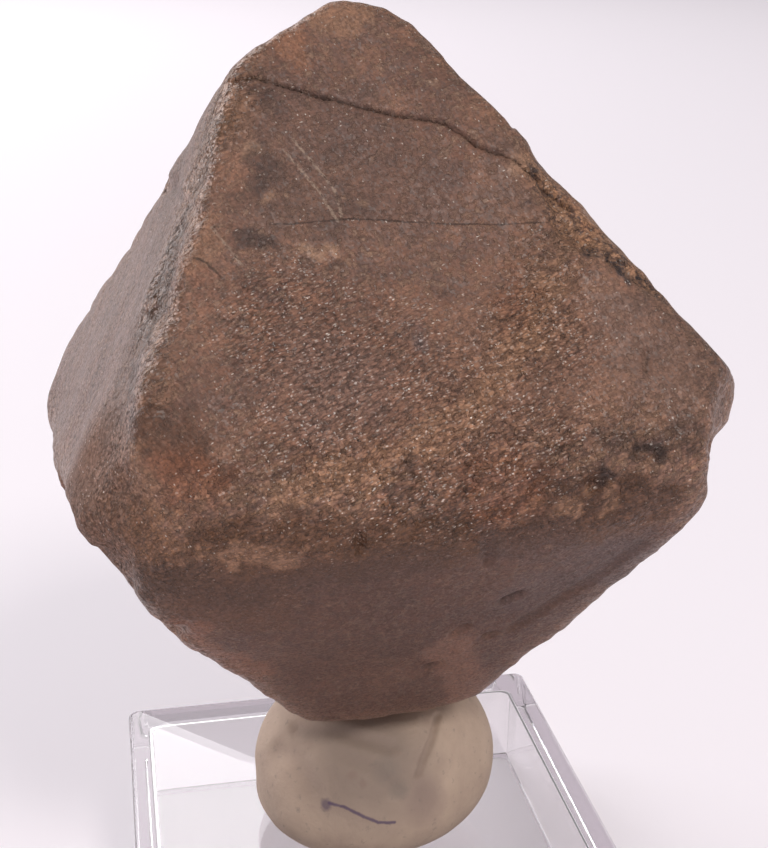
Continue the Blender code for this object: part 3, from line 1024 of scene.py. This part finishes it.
def line_group():
    """A fine line: how near a point is to the straight run between two points."""
    group, given, result = new_group(
        "fine_line", {"Vector": None, "Start": None, "End": None, "Width": 0.0001})
    along = vector_math(group, "SUBTRACT", given["End"], given["Start"]).outputs[0]
    out = vector_math(group, "SUBTRACT", given["Vector"], given["Start"]).outputs[0]
    reach = vector_math(group, "DOT_PRODUCT", out, along).outputs["Value"]
    whole = vector_math(group, "DOT_PRODUCT", along, along).outputs["Value"]
    part = math(group, "DIVIDE", reach, whole, clamp=True)
    distance = vector_math(group, "DISTANCE", out, scaled(group, along, part)).outputs["Value"]
    share = math(group, "DIVIDE", distance, given["Width"])
    group.links.new(remap(group, share, 0.35, 1.0, 1.0, 0.0), result["Mask"])
    return group


def spot_group():
    """A round soft spot: 1 at its centre, 0 beyond its radius."""
    group, given, result = new_group(
        "soft_spot", {"Vector": None, "Centre": None, "Radius": 0.001})
    distance = vector_math(group, "DISTANCE", given["Vector"], given["Centre"]).outputs["Value"]
    share = math(group, "DIVIDE", distance, given["Radius"])
    group.links.new(remap(group, share, 0.4, 1.0, 1.0, 0.0), result["Mask"])
    return group


PATCHES, GRAIN, FLAKES = patches_group(), grain_group(), flakes_group()
FINE_LINE, SOFT_SPOT = line_group(), spot_group()
print("node groups:", [group.name for group in bpy.data.node_groups])

# %% [markdown]
# Common steps of the finishes. A painter would start from an even coat, soften the borders of
# the marks and lay thin tints over it. Here these are functions over one material's nodes.

# %% Steps that finishes share


def start_material(name):
    """An empty Principled material: its tree, its shader and the Object coordinates."""
    material = bpy.data.materials.new(name)
    material.use_nodes = True
    tree = material.node_tree
    shader = tree.nodes["Principled BSDF"]
    place = put_node(tree, "TexCoord").outputs["Object"]
    return material, tree, shader, place


def wander(tree, place, size, reach):
    """The place, pushed about by noise, so that what is drawn there has ragged edges."""
    noise = put_node(tree, "TexNoise", {"Vector": place, "Scale": 1 / size, "Detail": 3.0})
    shift = vector_math(tree, "SUBTRACT", noise.outputs["Color"], (0.5, 0.5, 0.5)).outputs[0]
    return vector_math(tree, "ADD", place, scaled(tree, shift, reach)).outputs[0]


def strongest(tree, masks):
    """The highest of several masks."""
    best = masks[0]
    for mask in masks[1:]:
        best = math(tree, "MAXIMUM", best, mask)
    return best


def line_mask(tree, place, route, width):
    """One mask for a route of straight runs, its points in metres."""
    runs = [use_group(tree, FINE_LINE, vector=place, start=tuple(start), end=tuple(end),
                      width=width) for start, end in zip(route, route[1:])]
    return strongest(tree, runs)


def painted(tree, mask, strength, under, tint):
    """The colour under it, with a tint laid over where the mask and its strength say."""
    return mix(tree, times(tree, mask, strength), under, tint)


def darkened(tree, colour, shade):
    """The colour times a grey shade."""
    grey = put_node(tree, "CombineColor", {0: shade, 1: shade, 2: shade}).outputs[0]
    return mix(tree, 1.0, colour, grey, "MULTIPLY")


def crystal_places(pixels):
    """The crystal's points at these pixels, in metres in the frame."""
    return from_crystal(on_crystal(pixels)) * MM


def turn_along(start, end):
    """The turn that brings the way between two pixels of the skin onto the X axis."""
    places = crystal_places([start, end])
    way = Vector(places[1] - places[0])
    return tuple(way.to_track_quat("X", "Z").inverted().to_euler())


# The ways that the grain runs: up the bright zone, down to the right, down the ridge and strip
UP_RIGHT, DOWN_RIGHT = turn_along((300, 460), (420, 400)), turn_along((500, 300), (560, 380))
DOWN_RIDGE, DOWN_STRIP = turn_along((190, 200), (150, 340)), turn_along((566, 214), (640, 272))
print("the bright zone's grain is turned by", [round(angle, 2) for angle in UP_RIGHT])

# %% [markdown]
# Colours laid over the crystal. The brown is washed with ochre, rust and dark blotches that no
# even noise would put in the right places, and two washes across the front face are partly
# painted light and shade. Each wash is a route of pixels with a half-width, a colour and a
# strength. They are summed on the points of the mesh, because a node for each would make the
# material too large to render.

# %% Colours on the crystal's points
DARK, RUST, OCHRE = (0.036, 0.027, 0.028), (0.27, 0.105, 0.056), (0.40, 0.215, 0.130)
GREY, GOLD, TAN = (0.150, 0.118, 0.122), (0.38, 0.175, 0.100), (0.48, 0.29, 0.190)
PURPLE_BROWN = (0.080, 0.039, 0.025)

# Colour laid over the skin: a route of pixels, half-width in mm, colour, strength
COLOURS = [
    # Darker upper left of the front face: partly its own darker brown, partly painted shade
    ([(290, 130), (340, 130), (400, 190)], 3.4, (0.135, 0.080, 0.066), 0.50),
    ([(88, 480), (100, 520)], 4.6, (0.175, 0.085, 0.052), 0.75),
    # Lighter middle and right of the front face: partly ochre, partly painted light
    ([(340, 380), (460, 400), (550, 345)], 5.0, (0.320, 0.165, 0.110), 0.45),
    ([(640, 330), (700, 380)], 3.2, (0.175, 0.105, 0.082), 0.50),
    ([(215, 550), (330, 552), (480, 535), (640, 508)], 2.2, (0.120, 0.052, 0.025), 0.78),
    ([(500, 546), (560, 538)], 1.5, (0.090, 0.050, 0.040), 0.50),
    ([(170, 600), (260, 612)], 2.6, (0.110, 0.049, 0.026), 0.50),
    ([(330, 385)], 3.6, (0.270, 0.165, 0.135), 0.35),
    ([(530, 505), (655, 497)], 1.8, (0.104, 0.049, 0.030), 0.62),
    ([(500, 335), (545, 335)], 1.6, (0.360, 0.190, 0.120), 0.40),
    ([(236, 105), (240, 125)], 1.2, (0.320, 0.170, 0.110), 0.40),
    ([(185, 150), (165, 210), (148, 270), (130, 350), (112, 420)], 1.3,
     (0.150, 0.078, 0.050), 0.60),
    ([(222, 118), (194, 193), (166, 272), (150, 330), (130, 400)], 1.0,
     (0.105, 0.052, 0.030), 0.75),
    ([(150, 430), (195, 455)], 1.8, (0.128, 0.063, 0.040), 0.68),
    ([(270, 192), (330, 205)], 2.2, (0.110, 0.066, 0.054), 0.50),
    ([(505, 150), (508, 205)], 1.3, (0.140, 0.082, 0.064), 0.50),
    ([(134, 452), (144, 500), (164, 545), (205, 558), (295, 555)], 0.7, OCHRE, 0.45),
    ([(138, 525), (165, 552)], 1.3, (0.250, 0.122, 0.068), 0.62),
    ([(290, 490), (350, 468), (430, 440), (480, 400), (525, 345), (548, 290)], 1.1, OCHRE, 0.62),
    ([(500, 517), (560, 507), (612, 497)], 0.5, OCHRE, 0.45),
    ([(186, 190), (212, 222), (190, 262)], 0.9, OCHRE, 0.40),
    ([(236, 92), (222, 130), (200, 170)], 0.9, OCHRE, 0.40),
    ([(248, 152)], 0.6, TAN, 0.45),
    ([(270, 196), (290, 198)], 0.5, TAN, 0.40),
    ([(350, 196)], 0.4, TAN, 0.40),
    ([(300, 243), (330, 240), (348, 256)], 0.6, TAN, 0.50),
    ([(100, 560), (150, 605)], 1.0, PURPLE_BROWN, 0.45),
    ([(150, 580), (240, 592), (330, 575), (430, 560)], 1.4, PURPLE_BROWN, 0.55),
    ([(400, 470), (440, 500), (450, 520)], 0.9, PURPLE_BROWN, 0.25),
    ([(600, 432), (640, 445), (690, 436)], 1.0, DARK, 0.40),
    ([(284, 34), (292, 52)], 0.8, GOLD, 0.55),
    ([(322, 14), (350, 16)], 1.6, OCHRE, 0.50),
    ([(650, 449)], 0.8, DARK, 0.60),
    ([(602, 484)], 0.7, DARK, 0.60),
    ([(270, 100)], 1.2, DARK, 0.25),
    ([(262, 165)], 1.3, DARK, 0.35),
    ([(246, 238), (262, 242)], 0.8, DARK, 0.65),
    ([(290, 260)], 0.9, DARK, 0.40),
    ([(332, 268)], 0.6, DARK, 0.50),
    ([(415, 340)], 0.9, GREY, 0.50),
    ([(420, 355)], 0.6, DARK, 0.40),
    ([(520, 165)], 1.0, TAN, 0.45),
    ([(605, 212)], 1.5, TAN, 0.50),
    ([(545, 186), (572, 210), (600, 238)], 0.5, (0.420, 0.190, 0.100), 0.65),
    ([(582, 240), (612, 262), (642, 282)], 0.5, (0.045, 0.041, 0.050), 0.85),
    ([(524, 210), (552, 222)], 0.35, DARK, 0.65),
    ([(533, 176), (543, 194)], 0.3, DARK, 0.65),
    ([(450, 645), (470, 690)], 1.7, (0.30, 0.15, 0.100), 0.38),
    ([(188, 478)], 2.0, RUST, 0.50),
    ([(182, 628), (215, 655), (250, 675)], 1.1, (0.28, 0.120, 0.072), 0.42),
    ([(515, 300)], 2.0, RUST, 0.30),
    ([(500, 490)], 2.6, RUST, 0.40),
    ([(610, 565)], 3.4, (0.110, 0.070, 0.064), 0.50),
    ([(530, 590)], 2.4, (0.110, 0.070, 0.064), 0.40),
]
RAGGED_REACH = 0.60
COLOUR_REACH = 0.92
COLOUR_SOFT, MASK_SOFT = 0.50, 0.65

# Where flakes glint most: a pixel, and how far the glints reach in mm
GLINTING = [((370, 410), 7.5), ((290, 330), 4.5), ((470, 470), 5.0), ((540, 340), 4.0)]
# Where the left side's painted sheen fades to brown and the skin is duller: pixel, reach in mm
KNOB = ((88, 500), 5.2)


def near_pixels(points, pixels, reach, soft=MASK_SOFT):
    """A mask: 1 near a pixel or a route of pixels of the skin, falling to 0 at its reach.
    Soft is the share of the reach over which it falls."""
    places = on_crystal(pixels)
    distance = nearest_on_route(points, np.concatenate([places, places[-1:] + 0.01]))[0]
    return smooth_step((1 - distance / reach) / soft)


def colour_the_skin():
    """Keep on the skin's points the colours laid over it, their cover, the glinting zone and
    the knob, and give the cover.

    Formula: each colour covers a share a of what is under it, so that sum = sum (1 - a) + a
    colour, and cover = cover (1 - a) + a.
    """
    ragged = skin_points + RAGGED_REACH * np.stack(
        [lattice_noise(skin_points, 0.9, seed) + 0.7 * lattice_noise(skin_points, 0.4, seed + 3)
         for seed in (41, 42, 43)], axis=1)
    laid, cover = np.zeros((len(ragged), 3)), np.zeros(len(ragged))
    for route, width, colour, strength in COLOURS:
        share = strength * near_pixels(ragged, route, COLOUR_REACH * width, COLOUR_SOFT)
        laid = laid * (1 - share[:, None]) + share[:, None] * np.array(colour)
        cover = cover * (1 - share) + share
    zone = np.max([near_pixels(skin_points, [pixel], reach) for pixel, reach in GLINTING], axis=0)
    knob_pixel, knob_reach = KNOB
    keep_colour_on_points(crystal, "laid", laid)
    keep_on_points(crystal, "cover", cover)
    keep_on_points(crystal, "zone", np.maximum(zone, skin_masks["lumpy"]))
    keep_on_points(crystal, "knob", near_pixels(skin_points, [knob_pixel], knob_reach))
    return cover


print("washes of colour:", len(COLOURS), "- mean cover:", round(colour_the_skin().mean(), 2))

# %% [markdown]
# The crystal's finish. From a step away it is a dull chocolate brown. Close up it is a mass of
# tiny flakes in greys, browns and ochres, some of them glinting. Scattered flake meshes would
# run to millions of faces, so they are a pattern that tilts the normal and the shade instead.
# First come the patterns and the flakes, which the colours are then built from.

# %% Patterns and flakes of the crystal
SKIN_MASKS = ("worn", "cleft", "hollow", "below", "left", "strip", "zone", "knob", "cover")


def read_skin():
    """The crystal's material, its nodes, the masks on its points and its patterns, by name."""
    material, tree, shader, place = start_material("pyrochlore_skin")
    skin = SimpleNamespace(material=material, tree=tree, shader=shader, place=place)
    for name in SKIN_MASKS:
        setattr(skin, name, on_points(tree, name))
    skin.laid = on_points(tree, "laid", "Color")
    skin.ragged = wander(tree, place, 0.6 * MM, 2.0 * MM)
    skin.flow = wander(tree, place, 1.8 * MM, 0.5 * MM)
    for name, where, size, low, high in (("broad", place, 4.5, 0.40, 0.60),
                                         ("middle", skin.ragged, 1.3, 0.40, 0.60),
                                         ("small", place, 0.34, 0.50, 0.66)):
        setattr(skin, name, use_group(tree, PATCHES, vector=where, size=size * MM,
                                      low=low, high=high))
    skin.streaks = use_group(tree, GRAIN, vector=skin.flow, turn=UP_RIGHT, length=1.5 * MM,
                             width=0.30 * MM, low=0.42, high=0.62)
    skin.rough = math(tree, "MAXIMUM", skin.zone, times(tree, skin.worn, 0.6))
    return skin


def add_flakes(skin):
    """Bumps, long strokes and small grains, each tilting the normal that it is given."""
    tree = skin.tree
    height = times(tree, skin.small, between(tree, skin.worn, 0.7, 1.6))
    bump = put_node(tree, "Bump", {"Height": height, "Strength": 1.0, "Distance": 0.07 * MM})
    skin.strokes = place_group(
        tree, FLAKES, vector=skin.flow, turn=UP_RIGHT, length=0.26 * MM, width=0.088 * MM,
        share=between(tree, skin.zone, 0.015, 0.34), tilt=between(tree, skin.rough, 0.10, 0.90),
        normal=bump.outputs[0])
    skin.grains = place_group(
        tree, FLAKES, vector=skin.place, turn=DOWN_RIGHT, length=0.15 * MM, width=0.09 * MM,
        share=0.030, tilt=between(tree, skin.rough, 0.35, 0.60), normal=skin.strokes["Normal"])
    tree.links.new(skin.grains["Normal"], skin.shader.inputs["Normal"])


skin = read_skin()
add_flakes(skin)
print("the crystal's patterns and flakes take", len(skin.tree.nodes), "nodes")

# %% [markdown]
# The crystal's colour. Edges are rubbed lighter and more ochre. The side that looks down is
# darker with painted shade, and the grazing left side is greyer with a painted sheen, with
# stripes down the ridge. One even brown with a noise over it would lose all that, so each tint
# is laid where its mask says, the lowest first, as glazes are.

# %% Colour of the crystal under its flakes
BROWN_DARK, BROWN_LIGHT = (0.195, 0.097, 0.068), (0.310, 0.157, 0.104)
# The underside's colour is painted shade
MOTTLE, PAINTED_UNDERSIDE_SHADE = (0.135, 0.085, 0.073), (0.070, 0.030, 0.019)
# The grey side's colour is a painted sheen
PAINTED_SIDE_SHEEN, SIDE_STRIPES = (0.222, 0.125, 0.097), (0.100, 0.058, 0.044)
RUBBED, CRUMBS = (0.325, 0.178, 0.112), (0.400, 0.255, 0.175)
CHIP_DARK, CHIP_LIGHT = (0.030, 0.025, 0.030), (0.48, 0.26, 0.150)


def under_colour(skin):
    """The brown, its mottling, the underside's painted shade, the left side's painted sheen,
    the wear and the laid washes.
    """
    tree = skin.tree
    colour = mix(tree, skin.broad, BROWN_DARK, BROWN_LIGHT)
    colour = painted(tree, skin.middle, 0.50, colour, MOTTLE)
    # Painted shade on the side that looks down
    colour = painted(tree, skin.below, 0.74, colour, PAINTED_UNDERSIDE_SHADE)
    # The left side's grey is a painted sheen, faded out over the knob, with darker stripes down the
    # ridge
    left = times(tree, skin.left, between(tree, skin.knob, 0.75, 0.0))
    stripes = use_group(tree, GRAIN, vector=skin.flow, turn=DOWN_RIDGE, length=3.0 * MM,
                        width=0.28 * MM, low=0.35, high=0.65)
    colour = painted(tree, left, 0.80, colour, PAINTED_SIDE_SHEEN)
    colour = painted(tree, times(tree, left, stripes), 0.80, colour, SIDE_STRIPES)
    worn = times(tree, skin.worn, between(tree, skin.streaks, 0.15, 0.85))
    colour = painted(tree, worn, 1.0, colour, RUBBED)
    crumbs = times(tree, skin.small, between(tree, skin.below, 0.45, 0.18))
    colour = painted(tree, crumbs, 1.0, colour, CRUMBS)
    bare = darkened(tree, colour, math(tree, "SUBTRACT", 1.0, skin.cover))
    colour = mix(tree, 1.0, bare, skin.laid, "ADD")
    chips = use_group(tree, GRAIN, vector=skin.ragged, turn=DOWN_STRIP, length=0.9 * MM,
                      width=0.30 * MM, low=0.41, high=0.51)
    chipped = mix(tree, chips, CHIP_DARK, CHIP_LIGHT)
    return mix(tree, times(tree, skin.strip, 0.55), colour, chipped)


skin_colour = under_colour(skin)
print("with its colour:", len(skin.tree.nodes), "nodes")

# %% [markdown]
# Shade, glints and lines. Each flake is a little lighter or darker than the next, the gaps
# between them get painted shade, and some catch the light, by a lower roughness and by a
# painted highlight in the colour. Over them run the thin lines: the crack's floor in painted
# shade, three dark hairlines and some pale scratches. They are drawn as distances to straight
# runs, because the mesh is too coarse for lines a tenth of a millimetre wide.

# %% Shade, glints and lines of the crystal
# Painted shade for the dents and the crack's floor, also the hairlines' dark, and a painted
# highlight for glints
PAINTED_HOLLOW_SHADE, CRACK_SHADE_AND_HAIRLINE_DARK = (0.022, 0.014, 0.012), (0.012, 0.008, 0.007)
GLINT, SCRATCH = (0.92, 0.80, 0.71), (0.42, 0.30, 0.23)
CRACK_CORE_WIDTH, SCRATCH_WIDTH = 0.10, 0.09
SPECULAR_LEVEL = 0.36

# Dark lines: a route of pixels, and the width in mm
HAIRLINES = [
    ([(212, 228), (298, 224), (354, 219), (440, 224), (503, 225), (548, 222)], 0.07),
    ([(159, 282), (175, 268), (195, 258), (205, 262), (225, 280)], 0.08),
    ([(648, 350), (646, 372)], 0.09),
]
SCRATCH_PIXELS = [
    [(293, 140), (335, 190), (342, 218)],
    [(283, 150), (318, 190), (338, 222)],
    [(212, 228), (242, 265)],
]


def shaded(skin, colour):
    """The colour, lighter or darker by flake, with painted shade in the gaps and the hollows."""
    tree = skin.tree
    strength = between(tree, skin.rough, 0.15, 0.48)
    from_middle = math(tree, "SUBTRACT", skin.strokes["Shade"], 0.5)
    stroke_shade = math(tree, "MULTIPLY_ADD", from_middle, strength, 0.5)
    shade = times(tree, times(tree, stroke_shade, 2.0),
                  between(tree, skin.grains["Shade"], 0.72, 1.28))
    # Painted shade in the gaps between flakes, deeper where the skin is rough
    gaps = times(tree, skin.strokes["Gap"], between(tree, skin.rough, 0.10, 0.60))
    shade = times(tree, shade, between(tree, gaps, 1.0, 0.15))
    # Painted shade in the dents
    return painted(tree, skin.hollow, 0.45, darkened(tree, colour, shade), PAINTED_HOLLOW_SHADE)


def glint_mask(skin):
    """Where flakes catch the light, as a painted highlight in the colour and a lower roughness:
    less in the mottling and on the underside.
    """
    tree = skin.tree
    glints = times(tree, skin.strokes["Glint"],
                   remap(tree, skin.grains["Shade"], 0.2, 0.9, 0.10, 1.0))
    glints = math(tree, "MAXIMUM", glints, times(tree, skin.grains["Glint"], 0.7))
    bright = times(tree, between(tree, skin.middle, 1.0, 0.35),
                   between(tree, skin.below, 1.0, 0.25))
    return times(tree, glints, bright)


def with_lines(skin, colour):
    """The colour with the painted shade of the crack's floor, the dark hairlines and the scratches
    drawn over it.
    """
    tree = skin.tree
    drawn = wander(tree, skin.place, 0.25 * MM, 0.16 * MM)
    thin = strongest(tree, [line_mask(tree, drawn, crystal_places(route), width * MM)
                            for route, width in HAIRLINES])
    core = line_mask(tree, skin.place, from_crystal(crack_route[1:-1]) * MM, CRACK_CORE_WIDTH * MM)
    dark = strongest(tree, [times(tree, thin, 0.60), skin.cleft, core])
    # The crack's floor and core are painted shade; the hairlines are dark lines
    colour = painted(tree, dark, 1.0, colour, CRACK_SHADE_AND_HAIRLINE_DARK)
    scratch = strongest(tree, [line_mask(tree, drawn, crystal_places(route), SCRATCH_WIDTH * MM)
                               for route in SCRATCH_PIXELS])
    return painted(tree, times(tree, scratch, skin.grains["Shade"]), 1.0, colour, SCRATCH)


def finish_crystal(skin, colour):
    """Link the colour and the roughness to the crystal's shader."""
    tree, inputs = skin.tree, skin.shader.inputs
    colour = shaded(skin, colour)
    glints = glint_mask(skin)
    # The glints are a painted highlight in the colour, and a lower roughness below
    colour = with_lines(skin, mix(tree, glints, colour, GLINT))
    tree.links.new(colour, inputs["Base Color"])
    dull = math(tree, "MULTIPLY_ADD", skin.knob, 0.30, between(tree, skin.rough, 0.46, 0.28))
    rough = put_node(tree, "Mix", {0: glints, 2: dull, 3: 0.20}).outputs[0]
    tree.links.new(rough, inputs["Roughness"])
    inputs["Specular IOR Level"].default_value = SPECULAR_LEVEL


finish_crystal(skin, skin_colour)
print("the crystal's material has", len(skin.tree.nodes), "nodes")
crystal.data.materials.append(skin.material)

# %% [markdown]
# The putty's finish. It is matte and beige-grey, warmer where it is thin, with faint dark
# specks from dust that was kneaded in and one thin purple line. Its crease and folds, the
# hollow between them and the place where the crystal meets it are darker with painted shade.

# %% Putty finish
PURPLE, GREENISH, REDDISH = (0.105, 0.068, 0.125), (0.19, 0.19, 0.165), (0.36, 0.20, 0.16)
PURPLE_LINE_PIXELS = [(328, 803), (345, 807), (360, 815), (378, 822), (395, 823)]

# Smears of kneaded-in dust, and a broad patch of painted shade between the folds: pixel,
# radius in mm, colour, strength
DUST_AND_SHADE_SMEARS = [
    ((327, 804), 0.42, PURPLE, 0.85),
    ((385, 770), 0.9, GREENISH, 0.5),
    ((398, 790), 0.7, GREENISH, 0.55),
    ((352, 776), 0.35, REDDISH, 0.6),
    ((363, 785), 0.30, REDDISH, 0.6),
    # Painted shade in the hollow between the folds
    ((368, 760), 4.6, (0.255, 0.195, 0.160), 0.75),
    ((425, 800), 1.6, (0.250, 0.175, 0.155), 0.5),
]
PUTTY_DARK, PUTTY_LIGHT, SPECK = (0.450, 0.332, 0.258), (0.540, 0.405, 0.312), (0.20, 0.18, 0.16)
PAINTED_FOLD_SHADE, PAINTED_SHADE_UNDER_CRYSTAL = (0.200, 0.140, 0.125), (0.130, 0.095, 0.080)
PURPLE_LINE_WIDTH = 0.13
PUTTY_ROUGHNESS = 0.8


def on_putty(pixels):
    """Points of the lump, in metres, that show at these pixels."""
    near = putty_points[towards_camera(putty_points)]
    spots = seen_at(near)
    return [near[np.linalg.norm(spots - pixel, axis=1).argmin()] * MM
            for pixel in np.array(pixels, float)]


def putty_material():
    material, tree, shader, place = start_material("putty_matte")
    folds, tucked = on_points(tree, "folds"), on_points(tree, "tucked")
    drawn = wander(tree, place, 0.8 * MM, 0.5 * MM)
    broad = use_group(tree, PATCHES, vector=place, size=2.6 * MM, low=0.35, high=0.65)
    colour = mix(tree, broad, PUTTY_DARK, PUTTY_LIGHT)
    specks = use_group(tree, PATCHES, vector=place, size=0.4 * MM, low=0.60, high=0.74)
    colour = painted(tree, specks, 0.5, colour, SPECK)
    # Dust smears, and one broad patch of painted shade
    for pixel, radius, tint, strength in DUST_AND_SHADE_SMEARS:
        centre = tuple(on_putty([pixel])[0])
        patch_mask = use_group(tree, SOFT_SPOT, vector=drawn, centre=centre, radius=radius * MM)
        colour = painted(tree, patch_mask, strength, colour, tint)
    line = line_mask(tree, wander(tree, place, 0.5 * MM, 0.2 * MM),
                     on_putty(PURPLE_LINE_PIXELS), PURPLE_LINE_WIDTH * MM)
    colour = painted(tree, line, 0.85, colour, PURPLE)
    # Painted shade in the folds
    colour = painted(tree, folds, 0.40, colour, PAINTED_FOLD_SHADE)
    # Painted shade where the lump meets the crystal
    colour = painted(tree, tucked, 0.70, colour, PAINTED_SHADE_UNDER_CRYSTAL)
    tree.links.new(colour, shader.inputs["Base Color"])
    shader.inputs["Roughness"].default_value = PUTTY_ROUGHNESS
    fine = use_group(tree, PATCHES, vector=place, size=0.3 * MM, low=0.3, high=0.7)
    bump = put_node(tree, "Bump", {"Height": fine, "Strength": 0.6, "Distance": 0.03 * MM})
    tree.links.new(bump.outputs[0], shader.inputs["Normal"])
    return material


putty.data.materials.append(putty_material())
print("the putty's material has", len(putty.data.materials[0].node_tree.nodes), "nodes")

# %% [markdown]
# The stand's finish. Clear polystyrene is bent light and faint grey at the edges, so it is a
# plain transmitting shader with the plastic's own index of refraction.

# %% Clear plastic finish
PLASTIC_TINT = (0.955, 0.942, 0.950)
PLASTIC_IOR = 1.49


def clear_material():
    material, tree, shader, place = start_material("clear_plastic")
    haze = use_group(tree, PATCHES, vector=place, size=4 * MM, low=0.3, high=0.8)
    tree.links.new(remap(tree, haze, 0, 1, 0.01, 0.05), shader.inputs["Roughness"])
    shader.inputs["Base Color"].default_value = (*PLASTIC_TINT, 1)
    shader.inputs["Transmission Weight"].default_value = 1.0
    shader.inputs["IOR"].default_value = PLASTIC_IOR
    return material


stand.data.materials.append(clear_material())
print("the stand's material:", stand.data.materials[0].name)
